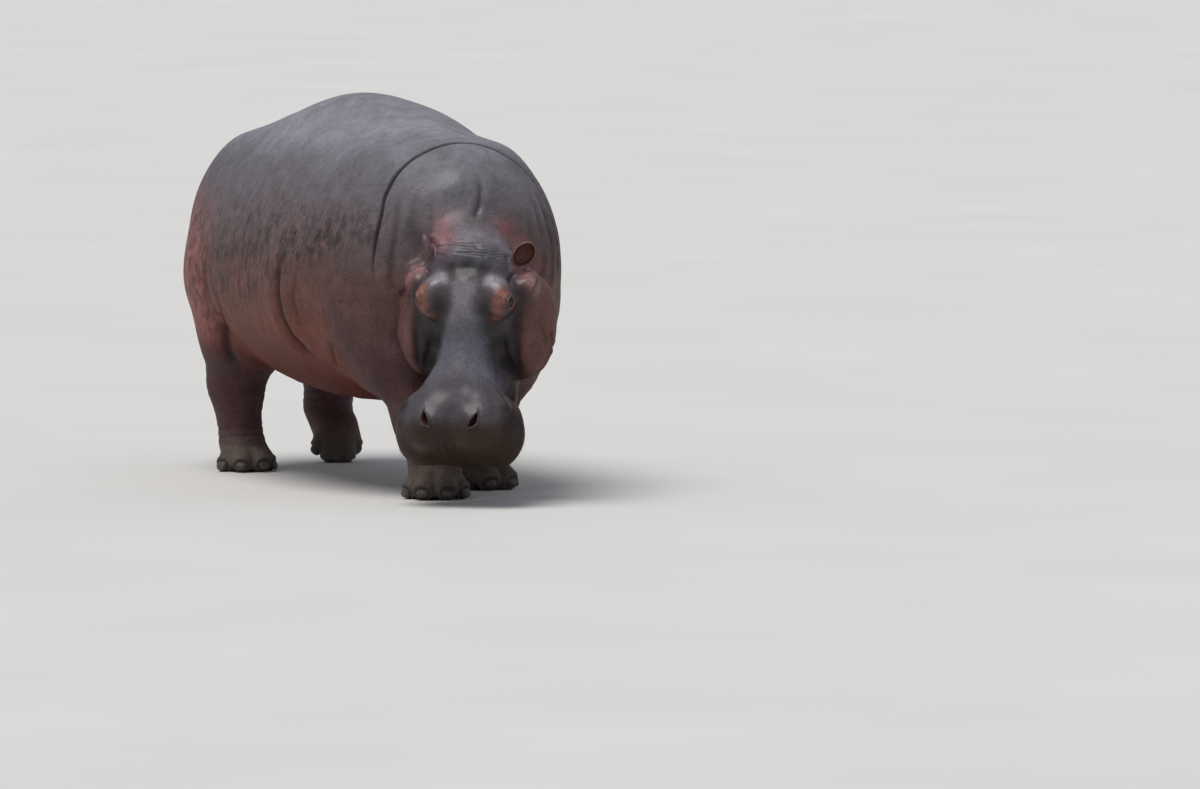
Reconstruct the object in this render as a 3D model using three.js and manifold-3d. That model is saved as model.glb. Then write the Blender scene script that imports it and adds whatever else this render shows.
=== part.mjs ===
// An adult common hippopotamus at life size, mid-stride, with its head lowered and turned to its right.
// Units are millimetres. +Z is up, the body faces -Y, and +X is the animal's left side.
// The flesh is one smooth field, the blend of rounded masses. It is meshed at the fineness each region needs,
// and parted into named pieces by thin curved and flat cuts. Eyes and nails are pieces of their own.
import * as THREE from "three";
import { ConvexGeometry } from "three/addons/geometries/ConvexGeometry.js";
import { mergeVertices } from "three/addons/utils/BufferGeometryUtils.js";
import Module from "manifold-3d";

const wasm = await Module();
wasm.setup();

// ---- Driving dimensions ----
const BACK_HEIGHT = 1505; // floor to the top of the back
const BELLY_HEIGHT = 322; // floor to the lowest point of the belly
const TRUNK_HALF_LENGTH = 1050;
const TRUNK_MIDDLE = -80; // forward of the frame's working origin
const TRUNK_HALF_WIDTH = 552;
const EYE_SPACING = 336; // between the middles of the eyes
const EYE_RADIUS = 25;
const HEAD_PITCH = 64; // degrees that the nose points below level
const HEAD_YAW = -40; // degrees that the nose turns to the animal's left of the body's axis
const HEAD_ROLL = 3; // degrees that the animal's left side of the head drops
const EYES_AT = [1262, -165, 782]; // forward, left and up of the point midway between the eyes
const EAR_TURN = { "1": 24, "-1": 72 }; // degrees outwards that each ear's opening faces
const EAR_LEAN = { "1": 33, "-1": 12 }; // degrees outwards that each ear's tip leans
const NECK_CUT = 815; // forward place of the crease between the neck and the shoulders
const HEAD_CUT = -222; // along the head, behind the ears and the corners of the jaw
const CHEST_FRONT = 932; // the breast stays with the neck behind this place
const CHEST_TOP = 655; // and below this height
const SEAM = 0.4; // gap of the cuts between pieces

// ---- Fineness of each region's mesh ----
const CELL = { trunk: 152, neck: 104, head: 51, jaw: 62, upper: 100, lower: 74, foot: 53, ear: 14, tail: 42 };

// ---- Colours and finishes ----
const hide = new THREE.MeshStandardMaterial({ color: 0x5d4f54, roughness: 0.6, metalness: 0 });
const pinkHide = new THREE.MeshStandardMaterial({ color: 0x8a5f5b, roughness: 0.6, metalness: 0 });
const horn = new THREE.MeshStandardMaterial({ color: 0x6b6360, roughness: 0.5, metalness: 0 });
const eyeball = new THREE.MeshStandardMaterial({ color: 0x2a1a12, roughness: 0.1, metalness: 0 });

// ---- Places and turns ----
const degrees = THREE.MathUtils.degToRad;
const mix = THREE.MathUtils.lerp;
/** A point given as forward, left and up of the working origin. */
const place = (forward, left, up) => new THREE.Vector3(left, -forward, up);
/** A turn: yaw to the left about +Z, then pitch nose down, then roll, all in degrees. */
const turn = (yaw, pitch = 0, roll = 0) =>
  new THREE.Quaternion().setFromEuler(new THREE.Euler(degrees(pitch), degrees(roll), degrees(yaw), "ZXY"));
const frameAt = (origin, rotation) =>
  new THREE.Matrix4().compose(origin, rotation, new THREE.Vector3(1, 1, 1));

// ---- Fields: functions of x, y and z in millimetres, negative inside ----
/** Spheres stretched to three radii (sideways, lengthways, upwards), placed in a frame. */
function ellipsoid(centre, radii, rotation = turn(0), frame = new THREE.Matrix4()) {
  const m = frame.clone().multiply(frameAt(centre, rotation)).invert().elements;
  const [a, b, c] = radii;
  return (x, y, z) => {
    const px = (m[0] * x + m[4] * y + m[8] * z + m[12]) / a;
    const py = (m[1] * x + m[5] * y + m[9] * z + m[13]) / b;
    const pz = (m[2] * x + m[6] * y + m[10] * z + m[14]) / c;
    const reach = Math.sqrt(px * px + py * py + pz * pz);
    const slope = Math.sqrt((px / a) ** 2 + (py / b) ** 2 + (pz / c) ** 2);
    return slope < 1e-9 ? -Math.min(a, b, c) : (reach * (reach - 1)) / slope;
  };
}

/** As ellipsoid, with flatter sides and rounder corners as the power rises above 2. */
function roundedBox(centre, radii, power, rotation = turn(0), frame = new THREE.Matrix4()) {
  const m = frame.clone().multiply(frameAt(centre, rotation)).invert().elements;
  const [a, b, c] = radii;
  return (x, y, z) => {
    const px = Math.abs(m[0] * x + m[4] * y + m[8] * z + m[12]) / a;
    const py = Math.abs(m[1] * x + m[5] * y + m[9] * z + m[13]) / b;
    const pz = Math.abs(m[2] * x + m[6] * y + m[10] * z + m[14]) / c;
    const total = px ** power + py ** power + pz ** power;
    const reach = total ** (1 / power);
    if (reach < 1e-6) return -Math.min(a, b, c);
    const share = total ** (1 / power - 1);
    const slope = share * Math.hypot(px ** (power - 1) / a, py ** (power - 1) / b, pz ** (power - 1) / c);
    return (reach - 1) / Math.max(slope, 1e-6);
  };
}

/** A limb section: a cone with round ends between two points. */
function roundCone(from, to, fromRadius, toRadius) {
  const axis = to.clone().sub(from);
  const length2 = axis.lengthSq();
  const drop = fromRadius - toRadius;
  const slant2 = length2 - drop * drop;
  return (x, y, z) => {
    const px = x - from.x;
    const py = y - from.y;
    const pz = z - from.z;
    const along = px * axis.x + py * axis.y + pz * axis.z;
    const beyond = along - length2;
    const qx = px * length2 - axis.x * along;
    const qy = py * length2 - axis.y * along;
    const qz = pz * length2 - axis.z * along;
    const x2 = qx * qx + qy * qy + qz * qz;
    const y2 = along * along * length2;
    const z2 = beyond * beyond * length2;
    const k = Math.sign(drop) * drop * drop * x2;
    if (Math.sign(beyond) * slant2 * z2 > k) return Math.sqrt(x2 + z2) / length2 - toRadius;
    if (Math.sign(along) * slant2 * y2 < k) return Math.sqrt(x2 + y2) / length2 - fromRadius;
    return (Math.sqrt((x2 * slant2) / length2) + along * drop) / length2 - fromRadius;
  };
}

/** Joins two fields with a fillet about as wide as blend. */
const joined = (blend, a, b) => (x, y, z) => {
  const p = a(x, y, z);
  const q = b(x, y, z);
  const h = Math.max(blend - Math.abs(p - q), 0) / blend;
  return Math.min(p, q) - (h * h * blend) / 4;
};
const blended = (blend, ...fields) => fields.reduce((a, b) => joined(blend, a, b));
const union = (...fields) => (x, y, z) => Math.min(...fields.map((field) => field(x, y, z)));
/** The first field with the second taken away. */
const carved = (blend, a, b) => {
  const rest = joined(blend, (x, y, z) => -a(x, y, z), b);
  return (x, y, z) => -rest(x, y, z);
};

// ---- Trunk: a barrel whose top, belly and flank lines follow stations along it ----
const TRUNK_STATIONS = [
  // forward, top, belly, half-width, height of the widest line
  [-1130, 1385, 620, 455, 960],
  [-800, 1432, 500, 505, 900],
  [-500, 1458, 378, 535, 850],
  [-180, BACK_HEIGHT, 330, TRUNK_HALF_WIDTH, 810],
  [120, 1490, BELLY_HEIGHT, 560, 790],
  [400, 1452, 345, 552, 800],
  [700, 1435, 415, 515, 840],
  [970, 1410, 520, 475, 880],
];
const TRUNK_END_POWER = 3.1; // higher makes the rump and chest blunter
const TRUNK_BACK_POWER = 1.92; // below 2 the back slopes like a roof
const TRUNK_BELLY_POWER = 2.1;

function trunkField() {
  const columns = 4;
  const line = new THREE.CubicInterpolant(
    TRUNK_STATIONS.map((s) => s[0]),
    TRUNK_STATIONS.flatMap((s) => s.slice(1)),
    columns,
  );
  const reach = (x, y, z) => {
    const [top, belly, halfWidth, widest] = line.evaluate(-y);
    const half = z > widest ? top - widest : widest - belly;
    const power = z > widest ? TRUNK_BACK_POWER : TRUNK_BELLY_POWER;
    const side = (Math.abs(x) / halfWidth) ** power + (Math.abs(z - widest) / half) ** power;
    const end = Math.abs((-y - TRUNK_MIDDLE) / TRUNK_HALF_LENGTH) ** TRUNK_END_POWER;
    return (side ** (TRUNK_END_POWER / power) + end) ** (1 / TRUNK_END_POWER);
  };
  const step = 4;
  return (x, y, z) => {
    const r = reach(x, y, z);
    const slope = Math.hypot(
      reach(x + step, y, z) - r,
      reach(x, y + step, z) - r,
      reach(x, y, z + step) - r,
    );
    return ((r - 1) * step) / Math.max(slope, step / 2500);
  };
}

const pair = (make) => [make(1), make(-1)];
const LEFT = 1;
const RIGHT = -1;

// ---- Legs: each a chain of joints with radii, forward, left of the middle and up ----
const LEGS = {
  foreleg_right: {
    side: RIGHT,
    joints: [
      [640, 272, 710, 178],
      [750, 196, 500, 122],
      [820, 158, 300, 98],
      [845, 124, 130, 92],
    ],
    foot: { at: [870, 118], yaw: -24, pitch: 0, size: 1 },
  },
  foreleg_left: {
    side: LEFT,
    joints: [
      [600, 275, 700, 176],
      [575, 262, 490, 130],
      [508, 232, 300, 98],
      [470, 215, 130, 92],
    ],
    foot: { at: [500, 215], yaw: 10, pitch: 0, size: 1 },
  },
  hindleg_right: {
    side: RIGHT,
    joints: [
      [-715, 290, 760, 225],
      [-665, 325, 545, 150],
      [-755, 312, 345, 97],
      [-725, 305, 130, 84],
    ],
    foot: { at: [-697, 305], yaw: -6, pitch: 0, size: 0.94 },
  },
  hindleg_left: {
    side: LEFT,
    joints: [
      [-715, 285, 760, 225],
      [-750, 285, 545, 150],
      [-985, 180, 400, 103],
      [-1000, 172, 225, 97],
    ],
    foot: { at: [-1015, 200], lift: 118, yaw: -8, pitch: 62, size: 0.94, spread: 0.74 },
  },
};
const KNEE = 410; // height of the cut between the upper and lower leg
const ANKLE = { planted: 128, raised: 205 };
const TOES = [
  // degrees to the left of straight ahead when the foot bears weight, reach, radius
  [-58, 104, 38],
  [-18, 120, 47],
  [18, 120, 47],
  [58, 104, 38],
];

function legJoint(leg, [forward, outward, up]) {
  return place(forward, leg.side * outward, up);
}

function legField(leg) {
  const cones = leg.joints.slice(1).map((joint, i) => {
    const before = leg.joints[i];
    return roundCone(legJoint(leg, before), legJoint(leg, joint), before[3], joint[3]);
  });
  return blended(70, ...cones);
}

function footFrame(leg) {
  const { at, lift = 0, yaw, pitch } = leg.foot;
  return frameAt(place(at[0], leg.side * at[1], lift), turn(yaw, pitch));
}

function footField(leg) {
  const frame = footFrame(leg);
  const { size: k, spread = 1 } = leg.foot;
  const inFrame = (forward, left, up) => place(forward * k, left * k, up * k).applyMatrix4(frame);
  const toes = TOES.map(([angle, reach, radius]) => {
    const a = degrees(angle * spread);
    const tip = inFrame(reach * Math.cos(a), reach * Math.sin(a), radius - 2);
    const root = inFrame(15 * Math.cos(a), 40 * Math.sin(a), 92);
    return roundCone(root, tip, 56 * k, radius * k);
  });
  const pad = ellipsoid(place(5, 0, 34), [96 * k, 96 * k, 60 * k], turn(0), frame);
  return blended(16, ...toes, pad);
}

// ---- Neck: overlapping masses from the chest to the nape ----
const NECK_MASSES = [
  // forward, left, up, radii sideways, lengthways and upwards, yaw, pitch
  [692, 8, 914, 388, 305, 448, 0, 12],
  [800, 8, 885, 336, 228, 400, 0, 22],
  [950, -20, 828, 186, 178, 280, -26, 40],
];
function neckField() {
  return blended(
    85,
    ...NECK_MASSES.map(([forward, left, up, a, b, c, yaw, pitch]) =>
      ellipsoid(place(forward, left, up), [a, b, c], turn(yaw, pitch)),
    ),
  );
}

// ---- Head: masses in its own frame, whose origin is midway between the eyes ----
const HEAD = frameAt(place(...EYES_AT), turn(HEAD_YAW, HEAD_PITCH, HEAD_ROLL));
const headBall = (forward, left, up, radii, rotation) =>
  ellipsoid(place(forward, left, up), radii, rotation, HEAD);
const headPoint = (forward, left, up) => place(forward, left, up).applyMatrix4(HEAD);

function headField() {
  const skull = blended(
    60,
    headBall(-80, 0, -125, [170, 205, 140]),
    headBall(-150, 0, -62, [138, 95, 75]),
    roundCone(headPoint(-30, 0, -130), headPoint(300, 0, -172), 118, 96),
    headBall(250, 0, -250, [138, 280, 110]),
  );
  const bridge = headBall(345, 0, -148, [146, 150, 92], turn(0, 10));
  const brows = pair((side) => headBall(-14, side * 128, -34, [66, 74, 58], turn(side * -18, 0, side * 10)));
  const lumps = pair((side) => headBall(-108, side * 208, -92, [46, 78, 54], turn(side * -12)));
  const earMounts = pair((side) => headBall(-185, side * 158, -96, [52, 50, 56]));
  const cheeks = pair((side) => headBall(-12, side * 176, -250, [124, 212, 160], turn(side * 4)));
  const jawAngles = pair((side) => headBall(-105, side * 160, -340, [108, 118, 112]));
  const muzzle = blended(
    45,
    roundedBox(place(448, 0, -196), [217, 120, 136], 3.0, turn(0, -4), HEAD),
    ...pair((side) => headBall(452, side * 148, -216, [94, 128, 124])),
    ...pair((side) => headBall(478, side * 92, -100, [62, 84, 58])),
  );
  const jaw = blended(
    50,
    roundedBox(place(250, 0, -352), [158, 262, 76], 2.6, turn(0, 2), HEAD),
    headBall(430, 0, -340, [170, 105, 62]),
  );
  const upper = blended(45, skull, blended(70, muzzle, bridge), ...brows, ...lumps, ...earMounts);
  return blended(50, upper, jaw, ...cheeks, ...jawAngles);
}

// ---- Ears: small cups on short stalks, turned forwards and outwards ----
const EAR = { at: [-160, 162, -66], cup: [42, 24, 57], hollow: [32, 21, 46], stalk: 25 };
const EAR_ROOT_LENGTH = 84; // of which half is sunk in the head
const EAR_CLEARANCE = 8;
function earFrame(side) {
  const [forward, outward, up] = EAR.at;
  const lean = turn(0, -50, side * EAR_LEAN[side]).multiply(turn(side * EAR_TURN[side]));
  return HEAD.clone().multiply(frameAt(place(forward, side * outward, up), lean));
}

function earField(side) {
  const frame = earFrame(side);
  const cup = ellipsoid(place(0, 0, 68), EAR.cup, turn(0), frame);
  const stalk = roundCone(
    place(0, 0, -35).applyMatrix4(frame),
    place(-8, 0, 26).applyMatrix4(frame),
    EAR.stalk + 6,
    EAR.stalk,
  );
  const hollow = ellipsoid(place(18, 0, 72), EAR.hollow, turn(0), frame);
  return carved(7, blended(18, cup, stalk), hollow);
}

// ---- Tail ----
const TAIL_JOINTS = [
  [-1075, 1110, 62],
  [-1150, 1010, 44],
  [-1172, 880, 32],
  [-1165, 760, 24],
];
function tailField() {
  const cones = TAIL_JOINTS.slice(1).map(([forward, up, radius], i) => {
    const [f0, u0, r0] = TAIL_JOINTS[i];
    return roundCone(place(f0, 0, u0), place(forward, 0, up), r0, radius);
  });
  return blended(30, ...cones);
}

// ---- The whole body as one field ----
const neck = neckField();
const head = headField();
const trunk = blended(
  120,
  trunkField(),
  ...pair((side) => ellipsoid(place(600, side * 255, 850), [185, 260, 462], turn(0, -6))),
  ...pair((side) => ellipsoid(place(-740, side * 264, 850), [205, 320, 455], turn(0, 6))),
);
const legs = Object.fromEntries(Object.entries(LEGS).map(([name, leg]) => [name, legField(leg)]));
const feet = Object.fromEntries(Object.entries(LEGS).map(([name, leg]) => [name, footField(leg)]));
const trunkAndLegs = Object.keys(LEGS).reduce(
  (body, name) => joined(90, body, joined(45, legs[name], feet[name])),
  trunk,
);
const neckAndHead = joined(75, neck, head);
const body = union(joined(90, trunkAndLegs, neck), neckAndHead);
const earRooms = pair((side) => headBall(-205, side * 236, -8, [58, 82, 92], turn(side * -20, 0, side * 20)));
const flesh = earRooms.reduce((rest, room) => carved(60, rest, room), body);

// ---- Meshing: the zero level of a field as a closed mesh of nearly square cells ----
/** Meshes a field inside a box. Each cell that the surface crosses gets a vertex, moved onto the surface. */
function surfaceOf(field, low, high, cell) {
  const count = [0, 1, 2].map((i) => Math.ceil((high.getComponent(i) - low.getComponent(i)) / cell) + 3);
  const [nx, ny, nz] = count;
  const start = low.clone().subScalar(cell * 1.01);
  const index = (i, j, k) => i + nx * (j + ny * k);
  const values = new Float32Array(nx * ny * nz);
  for (let k = 0; k < nz; k++)
    for (let j = 0; j < ny; j++)
      for (let i = 0; i < nx; i++) {
        const edge = i === 0 || j === 0 || k === 0 || i === nx - 1 || j === ny - 1 || k === nz - 1;
        const v = field(start.x + i * cell, start.y + j * cell, start.z + k * cell);
        values[index(i, j, k)] = edge ? Math.max(v, cell / 2) : v;
      }
  fillPinches(values, count, index);
  const corners = [0, 1, 2, 3, 4, 5, 6, 7].map((c) => [c & 1, (c >> 1) & 1, c >> 2]);
  const edges = [];
  for (let a = 0; a < 8; a++) for (const bit of [1, 2, 4]) if (!(a & bit)) edges.push([a, a | bit]);
  const cells = new Map();
  const positions = [];
  for (let k = 0; k < nz - 1; k++)
    for (let j = 0; j < ny - 1; j++)
      for (let i = 0; i < nx - 1; i++) {
        const v = corners.map(([a, b, c]) => values[index(i + a, j + b, k + c)]);
        const inside = v.filter((value) => value < 0).length;
        if (inside === 0 || inside === 8) continue;
        const sum = new THREE.Vector3();
        let crossings = 0;
        for (const [a, b] of edges)
          if (v[a] < 0 !== v[b] < 0) {
            const t = v[a] / (v[a] - v[b]);
            sum.x += mix(corners[a][0], corners[b][0], t);
            sum.y += mix(corners[a][1], corners[b][1], t);
            sum.z += mix(corners[a][2], corners[b][2], t);
            crossings++;
          }
        const p = sum.divideScalar(crossings).add(new THREE.Vector3(i, j, k)).multiplyScalar(cell).add(start);
        cells.set(index(i, j, k), positions.length / 3);
        positions.push(...settled(field, p, cell / 2).toArray());
      }
  const triangles = [];
  const steps = [index(1, 0, 0), index(0, 1, 0), index(0, 0, 1)];
  for (let k = 0; k < nz - 1; k++)
    for (let j = 0; j < ny - 1; j++)
      for (let i = 0; i < nx - 1; i++)
        for (let axis = 0; axis < 3; axis++) {
          const at = index(i, j, k);
          const here = values[at] < 0;
          if (here === values[at + steps[axis]] < 0) continue;
          const u = steps[(axis + 1) % 3];
          const w = steps[(axis + 2) % 3];
          const quad = [at - u - w, at - w, at, at - u].map((c) => cells.get(c));
          if (!here) quad.reverse();
          const [a, b, c, d] = quad;
          triangles.push(a, b, c, a, c, d);
        }
  return new THREE.BufferGeometry()
    .setAttribute("position", new THREE.Float32BufferAttribute(positions, 3))
    .setIndex(triangles);
}

/** Fills in grid faces whose inside corners touch only across a diagonal, so that the mesh stays closed. */
function fillPinches(values, [nx, ny, nz], index) {
  const steps = [index(1, 0, 0), index(0, 1, 0), index(0, 0, 1)];
  let found = true;
  while (found) {
    found = false;
    for (let k = 0; k < nz - 1; k++)
      for (let j = 0; j < ny - 1; j++)
        for (let i = 0; i < nx - 1; i++)
          for (let axis = 0; axis < 3; axis++) {
            const at = index(i, j, k);
            const u = steps[(axis + 1) % 3];
            const w = steps[(axis + 2) % 3];
            const face = [at, at + u, at + w, at + u + w];
            const [a, b, c, d] = face.map((c4) => values[c4] < 0);
            if (a !== d || b !== c || a === b) continue;
            const outside = face.filter((c4) => values[c4] >= 0);
            outside.sort((p, q) => values[p] - values[q]);
            values[outside[0]] = -1e-3;
            found = true;
          }
  }
}

/** Moves a point onto a field's zero level, at most limit away. */
function settled(field, point, limit) {
  const p = point.clone();
  const step = 1;
  for (let round = 0; round < 3; round++) {
    const v = field(p.x, p.y, p.z);
    const slope = new THREE.Vector3(
      field(p.x + step, p.y, p.z) - v,
      field(p.x, p.y + step, p.z) - v,
      field(p.x, p.y, p.z + step) - v,
    ).divideScalar(step);
    p.addScaledVector(slope, -v / Math.max(slope.lengthSq(), 0.05));
  }
  return p.distanceTo(point) < limit ? p : point.clone();
}

// ---- Solids: closed meshes that can be joined and cut ----
function solid(geometry, matrix = new THREE.Matrix4()) {
  const bare = new THREE.BufferGeometry().setAttribute("position", geometry.getAttribute("position").clone());
  bare.setIndex(geometry.index);
  const merged = mergeVertices(bare.applyMatrix4(matrix), 1e-3);
  return new wasm.Manifold(
    new wasm.Mesh({
      numProp: 3,
      vertProperties: new Float32Array(merged.attributes.position.array),
      triVerts: new Uint32Array(merged.index.array),
    }),
  );
}

function geometryOf(made) {
  const mesh = made.getMesh();
  return new THREE.BufferGeometry()
    .setAttribute("position", new THREE.BufferAttribute(new Float32Array(mesh.vertProperties), 3))
    .setIndex(new THREE.BufferAttribute(new Uint32Array(mesh.triVerts), 1));
}

// ---- Nodes ----
const hippopotamus = new THREE.Group();
hippopotamus.name = "hippopotamus";

function addNode(name, made, material) {
  const mesh = new THREE.Mesh(geometryOf(made), material.clone());
  mesh.name = name;
  hippopotamus.add(mesh);
}

/** A closed box of space, given by its forward, left and up limits in a frame. */
function region([f0, l0, u0], [f1, l1, u1], frame = new THREE.Matrix4()) {
  const box = new THREE.BoxGeometry(l1 - l0, f1 - f0, u1 - u0);
  box.translate((l0 + l1) / 2, -(f0 + f1) / 2, (u0 + u1) / 2);
  return solid(box, frame);
}

/** The flesh inside a solid cutter, meshed at its own fineness and standing on the floor. */
function fleshIn(cutter, cell, field = flesh) {
  const { min, max } = cutter.boundingBox();
  const low = new THREE.Vector3(...min);
  const high = new THREE.Vector3(...max);
  return solid(surfaceOf(field, low, high, cell)).intersect(cutter).trimByPlane([0, 0, 1], 0);
}

/** The largest of the separate bodies in a solid, leaving out cutting crumbs. */
const biggest = (made) => made.decompose().sort((a, b) => b.volume() - a.volume())[0];

/** A convex region round one leg, domed over the shoulder or haunch. */
function legCutter(leg, grow = 0) {
  const points = [];
  const dome = new THREE.SphereGeometry(1, 16, 9).getAttribute("position");
  const hip = legJoint(leg, leg.joints[0]);
  const radii = new THREE.Vector3(238, 275, 330).addScalar(grow);
  for (let i = 0; i < dome.count; i++)
    points.push(new THREE.Vector3().fromBufferAttribute(dome, i).multiply(radii).add(hip));
  const [forward, outward] = leg.foot.at;
  const floor = place(forward + 10, leg.side * outward, 0);
  for (let i = 0; i < 16; i++) {
    const a = (i / 16) * 2 * Math.PI;
    const rim = new THREE.Vector3(Math.cos(a), Math.sin(a), 0).multiplyScalar(208 + grow).add(floor);
    points.push(rim.clone().setZ(-30), rim.clone().setZ(120));
  }
  return solid(new ConvexGeometry(points));
}

function nailSolid(leg, toe, grow = 0) {
  const [flatAngle, reach, radius] = TOES[toe];
  const { size: k, spread = 1 } = leg.foot;
  const angle = flatAngle * spread;
  const along = reach + radius * 0.66;
  const a = degrees(angle);
  const at = place(along * Math.cos(a) * k, along * Math.sin(a) * k, radius * 0.72 * k);
  const nail = new THREE.SphereGeometry(1, 8, 4).scale(25 * k + grow, 15 * k + grow, 24 * k + grow);
  const frame = footFrame(leg).multiply(frameAt(at, turn(angle, -24)));
  return solid(nail, frame).trimByPlane([0, 0, 1], grow ? -1 : 1.5);
}

function eyeSolid(side, grow = 0) {
  const ball = new THREE.SphereGeometry(EYE_RADIUS + grow, 12, 8);
  return solid(ball, HEAD.clone().multiply(frameAt(place(0, (side * EYE_SPACING) / 2, -6), turn(0))));
}

/** The round root that seats an ear in the head. */
function earRoot(side, grow = 0) {
  const root = new THREE.CylinderGeometry(EAR.stalk + grow, EAR.stalk + grow, EAR_ROOT_LENGTH + 2 * grow, 14);
  return solid(root.rotateX(Math.PI / 2), earFrame(side));
}

/** One ear, from its root to its rim, kept just clear of the flesh around it. */
function earSolid(side) {
  const middle = place(0, 0, 0).applyMatrix4(earFrame(side));
  const reach = 160;
  const low = middle.clone().subScalar(reach);
  const high = middle.addScalar(reach);
  const around = solid(surfaceOf((x, y, z) => flesh(x, y, z) - EAR_CLEARANCE, low, high, CELL.head));
  const ear = solid(surfaceOf(earField(side), low, high, CELL.ear)).subtract(around);
  return biggest(biggest(ear).add(earRoot(side)));
}

const spaceAhead = region([NECK_CUT, -700, 150], [1800, 700, 1600]);
const spaceBehind = region([-1400, -700, 150], [NECK_CUT - SEAM, 700, 1600]);
const chestSpace = (grow = 0) => region([0, -700, -100], [CHEST_FRONT - grow, 700, CHEST_TOP - grow]);
const headSpace = (grow = 0) =>
  region([HEAD_CUT - grow, -360 - grow, -500 - grow], [780, 360 + grow, 260], HEAD)
    .intersect(spaceAhead)
    .subtract(chestSpace(grow));
const MOUTH = HEAD.clone().multiply(frameAt(place(620, 0, -350), turn(0, 6)));
const jawSpace = (grow = 0) => region([-520 - grow, -450, -300], [160, 450, grow], MOUTH);

function addBody() {
  let trunkSolid = fleshIn(spaceBehind, CELL.trunk);
  let neckSolid = fleshIn(spaceAhead, CELL.neck).subtract(headSpace(SEAM));
  for (const leg of Object.values(LEGS)) {
    trunkSolid = trunkSolid.subtract(legCutter(leg, SEAM));
    neckSolid = neckSolid.subtract(legCutter(leg, SEAM));
  }
  const tail = solid(
    surfaceOf(tailField(), place(-1010, -90, 700), place(-1260, 90, 1220), CELL.tail),
  );
  addNode("trunk", biggest(trunkSolid), hide);
  addNode("neck", biggest(neckSolid), hide);
  addNode("tail", biggest(tail.subtract(trunkSolid.translate([0, SEAM, 0]))), hide);
}

function addHead() {
  let skull = fleshIn(headSpace().subtract(jawSpace(SEAM)), CELL.head);
  for (const [name, side] of [["left", LEFT], ["right", RIGHT]]) {
    addNode(`ear_${name}`, earSolid(side), pinkHide);
    addNode(`eye_${name}`, eyeSolid(side), eyeball);
    skull = skull.subtract(earRoot(side, SEAM)).subtract(eyeSolid(side, SEAM));
  }
  addNode("head", biggest(skull), hide);
  const jaw = fleshIn(headSpace().intersect(jawSpace()), CELL.jaw, neckAndHead);
  addNode("lower_jaw", biggest(jaw), pinkHide);
}

function addLeg(name, leg) {
  const cutter = legCutter(leg);
  const ankle = leg.foot.pitch ? ANKLE.raised : ANKLE.planted;
  const half = SEAM / 2;
  const upper = cutter.trimByPlane([0, 0, 1], KNEE + half);
  const lower = cutter.trimByPlane([0, 0, -1], -KNEE + half).trimByPlane([0, 0, 1], ankle + half);
  let foot = fleshIn(cutter.trimByPlane([0, 0, -1], -ankle + half), CELL.foot);
  TOES.forEach((_, toe) => {
    foot = foot.subtract(nailSolid(leg, toe, SEAM));
    addNode(`${name}_nail_${toe + 1}`, nailSolid(leg, toe), horn);
  });
  addNode(`${name}_upper`, biggest(fleshIn(upper, CELL.upper).subtract(headSpace(SEAM))), hide);
  addNode(`${name}_lower`, biggest(fleshIn(lower, CELL.lower)), hide);
  addNode(`${name}_foot`, biggest(foot), hide);
}

addBody();
addHead();
for (const [name, leg] of Object.entries(LEGS)) addLeg(name, leg);

// The frame's origin is the middle of the bounding box's bottom.
const middle = new THREE.Box3().setFromObject(hippopotamus).getCenter(new THREE.Vector3());
hippopotamus.position.set(-middle.x, -middle.y, 0);

export default hippopotamus;
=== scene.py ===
"""A life-size hippopotamus in mid-stride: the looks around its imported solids.

Metres, +Z up. The body faces -Y and +X is its left. The solids of flesh become one skin without seams: they are
joined, remeshed and settled on the smooth form that they share, and then the folds, lids, nostrils, mouth, ears
and wrinkles are raised on it. Eyes, nails and bristles are pieces of their own.
"""
from itertools import product
from math import cos, pi, radians, sin

import bmesh
import bpy
import numpy as np
from mathutils import Matrix, Vector


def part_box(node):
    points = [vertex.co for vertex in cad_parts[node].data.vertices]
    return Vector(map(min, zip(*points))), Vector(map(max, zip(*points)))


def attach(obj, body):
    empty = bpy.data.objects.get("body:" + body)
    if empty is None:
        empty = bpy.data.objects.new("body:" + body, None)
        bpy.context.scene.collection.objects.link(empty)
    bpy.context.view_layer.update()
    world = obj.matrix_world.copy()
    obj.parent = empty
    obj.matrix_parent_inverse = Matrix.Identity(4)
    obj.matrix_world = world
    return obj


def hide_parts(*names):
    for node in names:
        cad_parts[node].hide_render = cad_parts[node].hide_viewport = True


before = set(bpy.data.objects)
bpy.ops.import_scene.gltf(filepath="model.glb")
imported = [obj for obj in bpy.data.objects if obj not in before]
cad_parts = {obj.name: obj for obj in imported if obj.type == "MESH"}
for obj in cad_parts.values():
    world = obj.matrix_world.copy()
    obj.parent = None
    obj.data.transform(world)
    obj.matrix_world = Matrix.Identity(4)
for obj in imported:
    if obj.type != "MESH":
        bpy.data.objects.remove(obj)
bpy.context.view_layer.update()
SIDES = (1, -1)  # the animal's left and right


# ---- Places ----
def turn(yaw=0.0, pitch=0.0, roll=0.0):
    """A turn to the left, then nose down, then left side down, in degrees."""
    turns = ((yaw, "Z"), (pitch, "X"), (roll, "Y"))
    z, x, y = (Matrix.Rotation(radians(angle), 3, axis) for angle, axis in turns)
    return np.array(z @ x @ y)


class Frame:
    """An origin and three axes. Places in it are given as forward, left and up."""

    def __init__(self, origin, axes):
        self.origin = np.array(origin, float)
        self.axes = axes

    def point(self, forward, left, up):
        return self.origin + self.axes @ np.array((left, -forward, up))

    def at(self, forward, left, up, *angles):
        return Frame(self.point(forward, left, up), self.axes @ turn(*angles))

    def seen(self, p):
        """Each point's forward, left and up. Points are the columns of p."""
        x, y, z = self.axes.T @ (p - self.origin[:, None])
        return -y, x, z


def middle(node):
    low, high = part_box(node)
    return np.array((low + high) / 2)


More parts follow.
